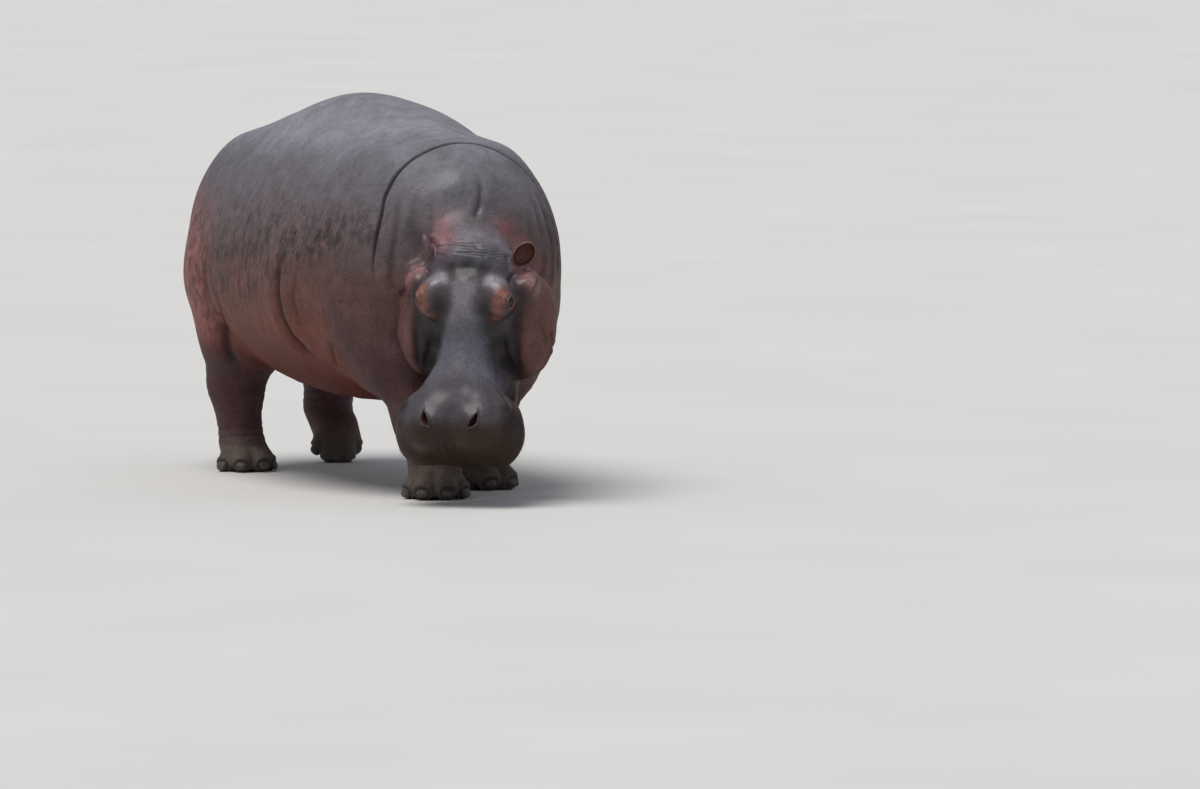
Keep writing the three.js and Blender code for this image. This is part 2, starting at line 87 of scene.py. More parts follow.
EYE_OUT, EYE_SINK = 0.168, 0.006  # sideways and below the head frame's origin
EYES_FORWARD = 1.262  # of the stance's middle
between_eyes = (middle("eye_left") + middle("eye_right")) / 2
HEAD = Frame(between_eyes, turn(-40, 64, 3)).at(0, 0, EYE_SINK)
BODY = Frame((0, HEAD.origin[1] + EYES_FORWARD, 0), turn())


# ---- The form that the solids were cut from: fields in metres, negative inside ----
def length(q):
    return np.sqrt(q[0] ** 2 + q[1] ** 2 + q[2] ** 2)


def ellipsoid(place, side, along, height):
    radii = np.array((side, along, height))[:, None]

    def field(p):
        q = place.axes.T @ (p - place.origin[:, None]) / radii
        reach = length(q)
        return reach * (reach - 1) / np.maximum(length(q / radii), 1e-9)

    return field


def rounded_box(place, side, along, height, power):
    radii = np.array((side, along, height))[:, None]

    def field(p):
        q = np.abs(place.axes.T @ (p - place.origin[:, None])) / radii
        total = np.maximum((q**power).sum(0), 1e-9)
        share = total ** (1 / power - 1)
        slope = share * length(q ** (power - 1) / radii)
        return (total ** (1 / power) - 1) / np.maximum(slope, 1e-3)

    return field


def round_cone(start, end, start_radius, end_radius):
    axis = end - start
    length2 = axis @ axis
    drop = start_radius - end_radius
    slant2 = length2 - drop * drop

    def field(p):
        offset = p - start[:, None]
        along = axis @ offset
        beyond = along - length2
        across2 = ((offset * length2 - np.outer(axis, along)) ** 2).sum(0)
        k = np.sign(drop) * drop * drop * across2
        last = np.sign(beyond) * slant2 * beyond * beyond * length2 > k
        first = np.sign(along) * slant2 * along * along * length2 < k
        at_end = np.sqrt(across2 + beyond * beyond * length2) / length2 - end_radius
        at_start = np.sqrt(across2 + along * along * length2) / length2 - start_radius
        between = (np.sqrt(across2 * slant2 / length2) + along * drop) / length2 - start_radius
        return np.where(last, at_end, np.where(first, at_start, between))

    return field


def joined(blend, *fields):
    """The fields together, with a fillet about as wide as blend."""

    def field(p):
        total = fields[0](p)
        for other in fields[1:]:
            value = other(p)
            h = np.maximum(blend - np.abs(total - value), 0) / blend
            total = np.minimum(total, value) - h * h * blend / 4
        return total

    return field


def carved(blend, body, room):
    rest = joined(blend, lambda p: -body(p), room)
    return lambda p: -rest(p)


def near(field, centre, reach):
    """The field close to a place, and a large value far from it, where it has no effect."""

    def limited(p):
        value = np.full(p.shape[1], 0.5)
        close = length(p - centre[:, None]) < reach
        if close.any():
            value[close] = field(p[:, close])
        return value

    return limited


TRUNK_STATIONS = np.array(
    (
        # forward, top, belly, half-width, height of the widest line
        (-1.130, 1.385, 0.620, 0.455, 0.960),
        (-0.800, 1.432, 0.500, 0.505, 0.900),
        (-0.500, 1.458, 0.378, 0.535, 0.850),
        (-0.180, 1.505, 0.330, 0.552, 0.810),
        (0.120, 1.490, 0.322, 0.560, 0.790),
        (0.400, 1.452, 0.345, 0.552, 0.800),
        (0.700, 1.435, 0.415, 0.515, 0.840),
        (0.970, 1.410, 0.520, 0.475, 0.880),
    )
)
TRUNK_MIDDLE, TRUNK_HALF_LENGTH = -0.080, 1.050
TRUNK_END_POWER, TRUNK_BACK_POWER, TRUNK_BELLY_POWER = 3.1, 1.92, 2.1


def between_stations(stations, x):
    """Each column's smooth curve through the stations, whose slopes there are the mean of the neighbours'."""
    xs, rows = stations[:, 0], stations[:, 1:]
    slope = np.diff(rows, axis=0) / np.diff(xs)[:, None]
    tangent = np.vstack((slope[:1], (slope[1:] + slope[:-1]) / 2, slope[-1:]))
    x = np.clip(x, xs[0], xs[-1])
    i = np.clip(np.searchsorted(xs, x) - 1, 0, len(xs) - 2)
    width = xs[i + 1] - xs[i]
    t = (x - xs[i]) / width
    start = (1 + 2 * t) * (1 - t) ** 2 * rows[i].T + t * (1 - t) ** 2 * width * tangent[i].T
    return start + t * t * (3 - 2 * t) * rows[i + 1].T + t * t * (t - 1) * width * tangent[i + 1].T


def trunk_reach(p):
    forward, left, up = BODY.seen(p)
    top, belly, half_width, widest = between_stations(TRUNK_STATIONS, forward)
    above = up > widest
    half = np.where(above, top - widest, widest - belly)
    power = np.where(above, TRUNK_BACK_POWER, TRUNK_BELLY_POWER)
    side = (np.abs(left) / half_width) ** power + (np.abs(up - widest) / half) ** power
    end = np.abs((forward - TRUNK_MIDDLE) / TRUNK_HALF_LENGTH) ** TRUNK_END_POWER
    return (side ** (TRUNK_END_POWER / power) + end) ** (1 / TRUNK_END_POWER)


def trunk_barrel(p):
    step = 0.004
    reach = trunk_reach(p)
    slope = length([trunk_reach(p + step * axis[:, None]) - reach for axis in np.eye(3)]) / step
    return (reach - 1) / np.maximum(slope, 0.4)


LEGS = {
    # joints are forward, out from the middle, up and radius; feet are forward, out, lift, yaw, pitch, spread and size
    "foreleg_right": {
        "side": -1,
        "joints": ((0.640, 0.272, 0.710, 0.178), (0.750, 0.196, 0.500, 0.122), (0.820, 0.158, 0.300, 0.098),
                   (0.845, 0.124, 0.130, 0.092)),
        "foot": (0.870, 0.118, 0.0, -24, 0, 1.0, 1.0),
    },
    "foreleg_left": {
        "side": 1,
        "joints": ((0.600, 0.275, 0.700, 0.176), (0.575, 0.262, 0.490, 0.130), (0.508, 0.232, 0.300, 0.098),
                   (0.470, 0.215, 0.130, 0.092)),
        "foot": (0.500, 0.215, 0.0, 10, 0, 1.0, 1.0),
    },
    "hindleg_right": {
        "side": -1,
        "joints": ((-0.715, 0.290, 0.760, 0.225), (-0.665, 0.325, 0.545, 0.150), (-0.755, 0.312, 0.345, 0.097),
                   (-0.725, 0.305, 0.130, 0.084)),
        "foot": (-0.697, 0.305, 0.0, -6, 0, 1.0, 0.94),
    },
    "hindleg_left": {
        "side": 1,
        "joints": ((-0.715, 0.285, 0.760, 0.225), (-0.750, 0.285, 0.545, 0.150), (-0.985, 0.180, 0.400, 0.103),
                   (-1.000, 0.172, 0.225, 0.097)),
        "foot": (-1.015, 0.200, 0.118, -8, 62, 0.74, 0.94),
    },
}
TOES = ((-58, 0.104, 0.038), (-18, 0.120, 0.047), (18, 0.120, 0.047), (58, 0.104, 0.038))  # angle under weight, reach, radius


def joint_at(leg, joint):
    return BODY.point(joint[0], leg["side"] * joint[1], joint[2])


def foot_frame(leg):
    forward, out, lift, yaw, pitch, _, _ = leg["foot"]
    return BODY.at(forward, leg["side"] * out, lift, yaw, pitch)


def leg_field(leg):
    pairs = zip(leg["joints"], leg["joints"][1:])
    cones = [round_cone(joint_at(leg, a), joint_at(leg, b), a[3], b[3]) for a, b in pairs]
    foot = foot_frame(leg)
    spread, k = leg["foot"][-2:]
    toes = []
    for angle, reach, radius in TOES:
        c, s = cos(radians(angle * spread)), sin(radians(angle * spread))
        root = foot.point(0.015 * c * k, 0.040 * s * k, 0.092 * k)
        tip = foot.point(reach * c * k, reach * s * k, (radius - 0.002) * k)
        toes.append(round_cone(root, tip, 0.056 * k, radius * k))
    pad = ellipsoid(foot.at(0.005, 0, 0.034), 0.096 * k, 0.096 * k, 0.060 * k)
    whole = joined(0.045, joined(0.070, *cones), joined(0.016, *toes, pad))
    return near(whole, (joint_at(leg, leg["joints"][1]) + foot.origin) / 2, 0.75)


def head_field():
    def ball(forward, left, up, radii, *angles):
        return ellipsoid(HEAD.at(forward, left, up, *angles), *radii)

    def pair(make):
        return [make(side) for side in SIDES]

    skull = joined(
        0.060,
        ball(-0.080, 0, -0.125, (0.170, 0.205, 0.140)),
        ball(-0.150, 0, -0.062, (0.138, 0.095, 0.075)),
        round_cone(HEAD.point(-0.030, 0, -0.130), HEAD.point(0.300, 0, -0.172), 0.118, 0.096),
        ball(0.250, 0, -0.250, (0.138, 0.280, 0.110)),
    )
    bridge = ball(0.345, 0, -0.148, (0.146, 0.150, 0.092), 0, 10)
    brows = pair(lambda s: ball(-0.014, s * 0.128, -0.034, (0.066, 0.074, 0.058), s * -18, 0, s * 10))
    lumps = pair(lambda s: ball(-0.108, s * 0.208, -0.092, (0.046, 0.078, 0.054), s * -12))
    ear_mounts = pair(lambda s: ball(-0.185, s * 0.158, -0.096, (0.052, 0.050, 0.056)))
    cheeks = pair(lambda s: ball(-0.012, s * 0.176, -0.250, (0.124, 0.212, 0.160), s * 4))
    jaw_angles = pair(lambda s: ball(-0.105, s * 0.160, -0.340, (0.108, 0.118, 0.112)))
    muzzle = joined(
        0.045,
        rounded_box(HEAD.at(0.448, 0, -0.196, 0, -4), 0.217, 0.120, 0.136, 3.0),
        *pair(lambda s: ball(0.452, s * 0.148, -0.216, (0.094, 0.128, 0.124))),
        *pair(lambda s: ball(0.478, s * 0.092, -0.100, (0.062, 0.084, 0.058))),
    )
    jaw = joined(
        0.050,
        rounded_box(HEAD.at(0.250, 0, -0.352, 0, 2), 0.158, 0.262, 0.076, 2.6),
        ball(0.430, 0, -0.340, (0.170, 0.105, 0.062)),
    )
    upper = joined(0.045, skull, joined(0.070, muzzle, bridge), *brows, *lumps, *ear_mounts)
    return near(joined(0.050, upper, jaw, *cheeks, *jaw_angles), HEAD.point(0.12, 0, -0.2), 0.85)


EAR_AT = (-0.160, 0.162, -0.066)
EAR_TURN = {1: 24, -1: 72}  # degrees outwards that each ear's opening faces
EAR_LEAN = {1: 33, -1: 12}  # degrees outwards that each ear's tip leans
EAR_MIDDLE = 0.068  # up the ear from its root
EAR_RADII = (0.042, 0.024, 0.057)


def ear_frame(side):
    forward, out, up = EAR_AT
    return HEAD.at(forward, side * out, up, 0, -50, side * EAR_LEAN[side]).at(0, 0, 0, side * EAR_TURN[side])


def ear_field(side):
    ear = ear_frame(side)
    cup = ellipsoid(ear.at(0, 0, EAR_MIDDLE), *EAR_RADII)
    stalk = round_cone(ear.point(0, 0, -0.035), ear.point(-0.008, 0, 0.026), 0.031, 0.025)
    return near(joined(0.018, cup, stalk), ear.origin, 0.35)


NECK_MASSES = (
    # forward, left, up, radii sideways, lengthways and upwards, yaw, pitch
    (0.692, 0.008, 0.914, 0.388, 0.305, 0.448, 0, 12),
    (0.800, 0.008, 0.885, 0.336, 0.228, 0.400, 0, 22),
    (0.950, -0.020, 0.828, 0.186, 0.178, 0.280, -26, 40),
)
TAIL_JOINTS = ((-1.075, 1.110, 0.062), (-1.150, 1.010, 0.044), (-1.172, 0.880, 0.032), (-1.165, 0.760, 0.024))


def tail_field():
    pairs = zip(TAIL_JOINTS, TAIL_JOINTS[1:])
    cones = [round_cone(BODY.point(a[0], 0, a[1]), BODY.point(b[0], 0, b[1]), a[2], b[2]) for a, b in pairs]
    return near(joined(0.030, *cones), BODY.point(-1.15, 0, 0.93), 0.5)


def flesh_field():
    shoulders = [ellipsoid(BODY.at(0.600, s * 0.255, 0.850, 0, -6), 0.185, 0.260, 0.462) for s in SIDES]
    haunches = [ellipsoid(BODY.at(-0.740, s * 0.264, 0.850, 0, 6), 0.205, 0.320, 0.455) for s in SIDES]
    trunk = near(joined(0.120, trunk_barrel, *shoulders, *haunches), BODY.point(-0.08, 0, 0.9), 1.25)
    limbs = joined(0.090, trunk, *[leg_field(leg) for leg in LEGS.values()])
    tailed = joined(0.030, limbs, tail_field())
    neck = joined(0.085, *[ellipsoid(BODY.at(*m[:3], *m[6:]), *m[3:6]) for m in NECK_MASSES])
    neck = near(neck, BODY.point(0.8, 0, 0.9), 1.1)
    head = head_field()

    def whole(p):
        necks = neck(p)
        rear = joined(0.090, tailed, lambda _: necks)(p)
        front = joined(0.075, lambda _: necks, head)(p)
        return np.minimum(rear, front)

    body = whole
    for s in SIDES:
        room = ellipsoid(HEAD.at(-0.205, s * 0.236, -0.008, s * -20, 0, s * 20), 0.058, 0.082, 0.092)
        body = carved(0.060, body, near(room, HEAD.origin, 0.7))
    return joined(0.012, body, ear_field(1), ear_field(-1))


# ---- Mesh helpers. Points are columns, as in the fields ----
def points_of(mesh):
    flat = np.empty(len(mesh.vertices) * 3, np.float32)
    mesh.vertices.foreach_get("co", flat)
    return flat.reshape(-1, 3).T.astype(float)


def set_points(mesh, p):
    mesh.vertices.foreach_set("co", p.T.astype(np.float32).ravel())
    mesh.update()


def normals_of(mesh):
    flat = np.empty(len(mesh.vertices) * 3, np.float32)
    mesh.vertex_normals.foreach_get("vector", flat)
    return flat.reshape(-1, 3).T.astype(float)


def face_centres(mesh):
    flat = np.empty(len(mesh.polygons) * 3, np.float32)
    mesh.polygons.foreach_get("center", flat)
    return flat.reshape(-1, 3).T.astype(float)


def edges_of(mesh):
    flat = np.empty(len(mesh.edges) * 2, np.int32)
    mesh.edges.foreach_get("vertices", flat)
    return flat.reshape(-1, 2).T


def neighbours_mean(values, edges, count):
    """The mean of each vertex's neighbours, for values given as rows."""
    a, b = edges
    degree = np.maximum(np.bincount(a, minlength=count) + np.bincount(b, minlength=count), 1)
    rows = [np.bincount(a, v[b], count) + np.bincount(b, v[a], count) for v in np.atleast_2d(values)]
    return np.array(rows) / degree


def new_object(name, mesh):
    obj = bpy.data.objects.new(name, mesh)
    bpy.context.scene.collection.objects.link(obj)
    return obj


# ---- The skin's mesh ----
VOXEL = 0.0105
OVERLAP = 0.0015  # the solids swell by this, so that the cuts between them close


def flesh_nodes():
    return [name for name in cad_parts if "eye" not in name and "nail" not in name]


def lumped_solids():
    """All the solids except the eyes as one mesh, slightly swollen, with the ears filled in."""
    lump = bmesh.new()
    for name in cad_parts:
        if "eye" in name:
            continue
        part = bmesh.new()
        part.from_mesh(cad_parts[name].data)
        bmesh.ops.remove_doubles(part, verts=part.verts, dist=1e-5)
        if name.startswith("ear_"):
            hull = bmesh.ops.convex_hull(part, input=part.verts)
            inside = [v for v in hull["geom_interior"] if isinstance(v, bmesh.types.BMVert)]
            bmesh.ops.delete(part, geom=inside, context="VERTS")
        part.normal_update()
        for vertex in part.verts:
            vertex.co += vertex.normal * OVERLAP
        mesh = bpy.data.meshes.new("part")
        part.to_mesh(mesh)
        part.free()
        lump.from_mesh(mesh)
        bpy.data.meshes.remove(mesh)
    whole = bpy.data.meshes.new("lump")
    lump.to_mesh(whole)
    lump.free()
    return whole


def remeshed(mesh):
    obj = new_object("lump", mesh)
    modifier = obj.modifiers.new("voxels", "REMESH")
    modifier.mode = "VOXEL"
    modifier.voxel_size = VOXEL
    made = bpy.data.meshes.new_from_object(obj.evaluated_get(bpy.context.evaluated_depsgraph_get()))
    bpy.data.objects.remove(obj)
    return made


def outer_shell(mesh):
    """The mesh without the small closed pockets that remeshing may leave inside."""
    shell = bmesh.new()
    shell.from_mesh(mesh)
    shell.verts.ensure_lookup_table()
    seen = np.zeros(len(shell.verts), bool)
    top = max(shell.verts, key=lambda v: v.co.z)
    seen[top.index] = True
    edge = [top]
    while edge:
        reached = []
        for vertex in edge:
            for link in vertex.link_edges:
                other = link.other_vert(vertex)
                if not seen[other.index]:
                    seen[other.index] = True
                    reached.append(other)
        edge = reached
    bmesh.ops.delete(shell, geom=[v for v in shell.verts if not seen[v.index]], context="VERTS")
    shell.to_mesh(mesh)
    shell.free()


def refined(mesh, chosen):
    """Halves the faces that a mask of the faces chooses."""
    fine = bmesh.new()
    fine.from_mesh(mesh)
    fine.faces.ensure_lookup_table()
    edges = {edge for i in np.flatnonzero(chosen) for edge in fine.faces[i].edges}
    bmesh.ops.subdivide_edges(fine, edges=list(edges), cuts=1, use_grid_fill=True)
    fine.to_mesh(mesh)
    fine.free()


def settle(mesh, field, rounds, chosen=None, most=0.02):
    """Moves the chosen vertices along their normals onto the field's zero level. One that can't reach it is evened out."""
    step, stuck = 0.002, 0.001
    whole = points_of(mesh)
    if chosen is None:
        chosen = np.ones(whole.shape[1], bool)
    p = whole[:, chosen]
    value = field(p)
    for _ in range(rounds):
        n = normals_of(mesh)[:, chosen]
        slope = (field(p + n * step) - value) / step
        moved = p - n * np.clip(value / np.maximum(slope, 0.35), -most, most)
        after = field(moved)
        worse = np.abs(after) > np.abs(value)
        moved[:, worse] = p[:, worse]
        after[worse] = value[worse]
        p, value = moved, after
        whole[:, chosen] = p
        set_points(mesh, whole)
    lost = np.flatnonzero(chosen)[np.abs(value) > stuck]
    edges = edges_of(mesh)
    for _ in range(8):
        whole[:, lost] = neighbours_mean(whole, edges, whole.shape[1])[:, lost]
    set_points(mesh, whole)


def relax(mesh, rounds, share=0.5):
    """Evens out the vertices, mostly along the surface."""
    edges, count = edges_of(mesh), len(mesh.vertices)
    for _ in range(rounds):
        p, n = points_of(mesh), normals_of(mesh)
        move = neighbours_mean(p, edges, count) - p
        set_points(mesh, p + share * (move - 0.8 * n * (move * n).sum(0)))


def fineness(p):
    """How many times the skin's faces are halved at each place."""
    forward, left, up = HEAD.seen(p)
    out = np.abs(left)
    level = np.zeros(p.shape[1], int)
    head = (forward > -0.30) & (forward < 0.62) & (out < 0.36) & (up > -0.47) & (up < 0.12)
    level[head] = 1
    _, _, height = BODY.seen(p)
    level[(np.abs(crease_gap(p)) < 0.030) & (height > 0.66)] = 2
    for leg in LEGS.values():
        level[length(p - foot_frame(leg).point(0.03, 0, 0.06)[:, None]) < 0.21] = 1
    eye = length((forward, out - EYE_OUT, up + EYE_SINK))
    nostril = length((forward - 0.475, out - 0.095, up + 0.05))
    nape = (forward > -0.33) & (forward < -0.12) & (out < 0.17) & (up > -0.10)
    ear = np.minimum(*[length(p - ear_frame(s).point(0, 0, 0.055)[:, None]) for s in SIDES])
    level[(eye < 0.085) | (nostril < 0.062) | nape | (ear < 0.10)] = 2
    level[eye < 0.046] = 3
    return level


def plain_skin(field):
    """The skin before any fold is raised on it."""
    mesh = remeshed(lumped_solids())
    outer_shell(mesh)
    for _ in range(2):
        settle(mesh, field, 1)
        relax(mesh, 2)
    settle(mesh, field, 1)
    for level in (1, 2, 3):
        refined(mesh, fineness(face_centres(mesh)) >= level)
        settle(mesh, field, 1, fineness(points_of(mesh)) >= level)
        relax(mesh, 1, 0.3)
    return mesh


# ---- Shapes of folds: heights along the normal, from each vertex's place ----
def bell(distance, width):
    return np.exp(-((distance / width) ** 2))


def ease(x, low, high):
    """0 at low, 1 at high and smooth between them."""
    t = np.clip((x - low) / (high - low), 0, 1)
    return t * t * (3 - 2 * t)


def noise(p, size, seed=0):
    """Smooth lumps about size across, from -1 to 1."""
    q = p / np.reshape(size, (-1, 1)) + 31.7 * (seed + 1)
    cell = np.floor(q).astype(np.int64)
    t = q - cell
    t = t * t * (3 - 2 * t)
    total = np.zeros(p.shape[1])
    for corner in product((0, 1), repeat=3):
        i, j, k = cell + np.array(corner)[:, None]
        hashed = (i * 73856093) ^ (j * 19349663) ^ (k * 83492791)
        hashed = ((hashed ^ (hashed >> 13)) * 1274126177) & 0xFFFF
        weight = np.prod([t[a] if corner[a] else 1 - t[a] for a in range(3)], axis=0)
        total += weight * (hashed / 32767.5 - 1)
    return total


def fractal(p, size, octaves=3, seed=0):
    sizes = [np.array(size, float) / 2**i for i in range(octaves)]
    return sum(noise(p, s, seed + i) / 2**i for i, s in enumerate(sizes))


def curve(points, steps=6):
    """A smooth curve through points, as columns."""
    pts = np.array(points, float)
    pts = np.vstack((2 * pts[0] - pts[1], pts, 2 * pts[-1] - pts[-2]))
    made = []
    for a, b, c, d in zip(pts, pts[1:], pts[2:], pts[3:]):
        for t in np.arange(steps) / steps:
            made.append(b + t * (c - a) / 2 + t * t * (a - 2.5 * b + 2 * c - d / 2)
                        + t**3 * (1.5 * b - 1.5 * c + (d - a) / 2))
    return np.array([*made, pts[-2]]).T


def on_skin(path, field):
    """A curve moved onto the field's zero level."""
    step = 0.002
    for _ in range(5):
        value = field(path)
        slope = np.array([(field(path + step * axis[:, None]) - value) / step for axis in np.eye(3)])
        path = path - slope * np.clip(value / np.maximum((slope**2).sum(0), 0.2), -0.03, 0.03)
    return path


def beside(p, path, reach):
    """Each point's distance from a curve, at most reach, and the share of the curve at which it lies."""
    gap, share = np.full(p.shape[1], reach), np.zeros(p.shape[1])
    centre = path.mean(1)[:, None]
    close = np.flatnonzero(length(p - centre) < length(path - centre).max() + reach)
    q, best, at = p[:, close], gap[close], share[close]
    pieces = path.shape[1] - 1
    for i in range(pieces):
        start, run = path[:, i : i + 1], path[:, i + 1 : i + 2] - path[:, i : i + 1]
        t = np.clip((run * (q - start)).sum(0) / (run**2).sum(), 0, 1)
        distance = length(q - start - run * t)
        nearer = distance < best
        best[nearer] = distance[nearer]
        at[nearer] = (i + t[nearer]) / pieces
    gap[close], share[close] = best, at
    return gap, share


def fold(p, path, width, depth, bank, start, end):
    """A groove with soft banks, which fades over the shares start and end of its length."""
    gap, share = beside(p, path, 5 * width)
    fade = (ease(share, 0, start) if start else 1) * (ease(share, 1, 1 - end) if end else 1)
    return fade * depth * (bank * bell(gap - 2.6 * width, 1.5 * width) - bell(gap, width))


# Paths are forward, out and up. Then the groove's half width, depth, bank and the shares over which it fades.
HEAD_FOLDS = {
    "mouth": (((0.575, 0.0, -0.318), (0.56, 0.11, -0.320), (0.50, 0.20, -0.322), (0.40, 0.245, -0.318),
               (0.28, 0.245, -0.322), (0.17, 0.25, -0.315), (0.09, 0.27, -0.280), (0.05, 0.28, -0.240)),
              0.006, 0.016, 0.35, 0, 0.15),
    "under the mouth": (((0.54, 0.0, -0.362), (0.49, 0.13, -0.366), (0.38, 0.19, -0.372), (0.2, 0.2, -0.38)),
                        0.010, 0.006, 0.3, 0, 0.4),
    "cheek's front": (((0.01, 0.205, -0.06), (0.06, 0.208, -0.105), (0.12, 0.197, -0.135), (0.18, 0.196, -0.185),
                       (0.205, 0.205, -0.24)), 0.010, 0.007, 0.3, 0.35, 0.35),
    "beside the bridge": (((0.08, 0.135, -0.10), (0.14, 0.145, -0.14), (0.185, 0.165, -0.18), (0.205, 0.175, -0.23)),
                          0.010, 0.005, 0.3, 0.4, 0.4),
    "on the cheek": (((-0.02, 0.262, -0.12), (0.05, 0.285, -0.17), (0.12, 0.290, -0.24)), 0.009, 0.003, 0.5, 0.4, 0.4),
    "mouth's corner": (((0.02, 0.29, -0.20), (0.055, 0.285, -0.26), (0.06, 0.27, -0.33)), 0.008, 0.007, 0.5, 0.3, 0.4),
    "behind the lump": (((-0.04, 0.235, -0.05), (-0.10, 0.262, -0.075), (-0.165, 0.250, -0.10)),
                        0.007, 0.006, 0.4, 0.3, 0.3),
    "before the lump": (((-0.05, 0.180, -0.01), (-0.105, 0.165, -0.02), (-0.15, 0.185, -0.05)),
                        0.007, 0.006, 0.4, 0.3, 0.3),
    "tusk's root": (((0.30, 0.165, -0.11), (0.335, 0.190, -0.115), (0.385, 0.200, -0.115), (0.43, 0.19, -0.11)),
                    0.009, 0.009, 0.4, 0.4, 0.4),
    "nose crack": (((0.535, 0.016, -0.075), (0.565, 0.017, -0.12), (0.575, 0.016, -0.17)), 0.003, 0.004, 0.4, 0.3, 0.4),
    "nose side": (((0.53, 0.045, -0.08), (0.56, 0.05, -0.13)), 0.003, 0.003, 0.4, 0.4, 0.4),
}
BODY_FOLDS = {
    "behind the shoulder": (((0.34, 0.56, 0.98), (0.31, 0.57, 0.78), (0.34, 0.54, 0.58), (0.42, 0.44, 0.44)),
                            0.022, 0.016, 0.4, 0.4, 0.3),
    "on the shoulder": (((0.46, 0.52, 0.92), (0.43, 0.54, 0.74), (0.46, 0.50, 0.58)), 0.016, 0.006, 0.5, 0.4, 0.4),
    "elbow": (((0.66, 0.44, 0.62), (0.57, 0.45, 0.53), (0.50, 0.38, 0.45)), 0.014, 0.010, 0.4, 0.4, 0.3),
    "armpit": (((0.40, 0.36, 0.40), (0.46, 0.28, 0.40), (0.47, 0.18, 0.40)), 0.014, 0.008, 0.3, 0.3, 0.3),
    "flank": (((-0.36, 0.55, 0.78), (-0.46, 0.53, 0.62), (-0.52, 0.46, 0.48), (-0.56, 0.36, 0.41)),
              0.022, 0.013, 0.3, 0.4, 0.2),
    "haunch": (((-0.50, 0.50, 0.95), (-0.56, 0.52, 0.75), (-0.60, 0.48, 0.56)), 0.018, 0.006, 0.4, 0.5, 0.3),
    "rump": (((-1.09, 0.09, 1.16), (-1.14, 0.11, 1.0), (-1.12, 0.13, 0.8), (-1.0, 0.14, 0.62)),
             0.022, 0.012, 0.2, 0.3, 0.4),
    "breast": (((1.00, 0.05, 0.60), (0.93, 0.17, 0.62), (0.84, 0.27, 0.72)), 0.016, 0.008, 0.4, 0.2, 0.4),
    "throat": (((1.00, 0.0, 0.70), (0.97, 0.14, 0.74), (0.90, 0.26, 0.82)), 0.014, 0.008, 0.4, 0.0, 0.4),
}


def folds(p, field):
    """The named folds of both sides. Also gives how deep in a groove each vertex lies, which darkens its colour there
    as painted shade.
    """
    relief, depth = np.zeros(p.shape[1]), np.zeros(p.shape[1])
    for place, table in ((HEAD, HEAD_FOLDS), (BODY, BODY_FOLDS)):
        for points, width, deep, bank, start, end in table.values():
            for side in SIDES:
                path = on_skin(curve([place.point(f, side * out, up) for f, out, up in points]), field)
                raised = fold(p, path, width, deep, bank, start, end)
                relief += raised
                depth = np.maximum(depth, -raised / 0.012)
    return relief, depth


NECK_FURROW = ((0.975, 0.005, 1.255), (1.030, 0.0, 1.184), (1.062, -0.024, 1.107), (1.090, -0.062, 1.075))
CREASE_FORWARD, CREASE_SLANT = 0.815, 0.050  # of the neck's top, and further forward down its sides


def crease_gap(p):
    """How far each point lies before the deep crease round the neck."""
    forward, _, up = BODY.seen(p)
    waver = 0.005 * noise(p, 0.22, 4) + 0.002 * noise(p, 0.05, 5)
    return forward - (CREASE_FORWARD + CREASE_SLANT * ease(up, 1.27, 1.02) + waver)


def neck_folds(p, field):
    """The deep crease round the neck, softer ones before it and the furrow along the neck's top. Also gives painted
    shade in these grooves.
    """
    forward, left, up = BODY.seen(p)
    out = np.abs(left)
    high = ease(up, 0.78, 1.02) * ease(out, 0.62, 0.50)
    gap = crease_gap(p)
    crease = bell(gap, 0.0052) * high
    relief = high * (0.007 * bell(gap + 0.040, 0.040) + 0.004 * bell(gap - 0.025, 0.020)) - 0.015 * crease
    sides = ease(out, 0.12, 0.26) * ease(up, 0.56, 0.72) * ease(up, 1.22, 1.06)
    for place, deep, seed in ((0.055, 0.007, 14), (0.105, 0.005, 15), (0.150, 0.004, 16)):
        bent = gap - place - 0.012 * noise(p, 0.13, seed)
        patchy = sides * ease(noise(p, 0.17, seed + 3), -0.9, 0.2)
        relief += patchy * deep * (0.5 * bell(bent + 0.020, 0.016) - bell(bent, 0.008))
        crease = np.maximum(crease, 0.5 * patchy * bell(bent, 0.009))
    path = on_skin(curve([BODY.point(*place) for place in NECK_FURROW]), field)
    furrow = fold(p, path, 0.010, 0.009, 0.3, 0.4, 0.25)
    return relief + furrow, np.maximum(crease, -furrow / 0.012)


def face_forms(p):
    """The hollows and swellings of the face that lie between its folds."""
    forward, left, up = HEAD.seen(p)
    out = np.abs(left)
    top = ease(up, -0.26, -0.16)

    def spot(f, o, along, across):
        return top * np.exp(-(((forward - f) / along) ** 2) - ((out - o) / across) ** 2)

    relief = -0.010 * spot(0.060, 0.092, 0.075, 0.026)  # between the eye and the bridge
    relief -= 0.012 * spot(-0.125, 0.0, 0.030, 0.050)  # middle of the forehead
    relief -= 0.006 * spot(-0.112, 0.075, 0.026, 0.030)
    relief += 0.006 * spot(-0.055, 0.0, 0.034, 0.030)
    relief += 0.005 * spot(-0.062, 0.118, 0.034, 0.040)  # brow before the ear
    relief += 0.005 * spot(0.200, 0.0, 0.120, 0.040)  # ridge of the nose
    relief -= 0.006 * spot(0.480, 0.0, 0.070, 0.024)  # between the nostrils
    relief += 0.008 * spot(0.372, 0.215, 0.040, 0.034)  # roots of the upper tusks
    relief += 0.0022 * noise(p, 0.045, 31) * ease(forward, -0.22, -0.15)
    return relief


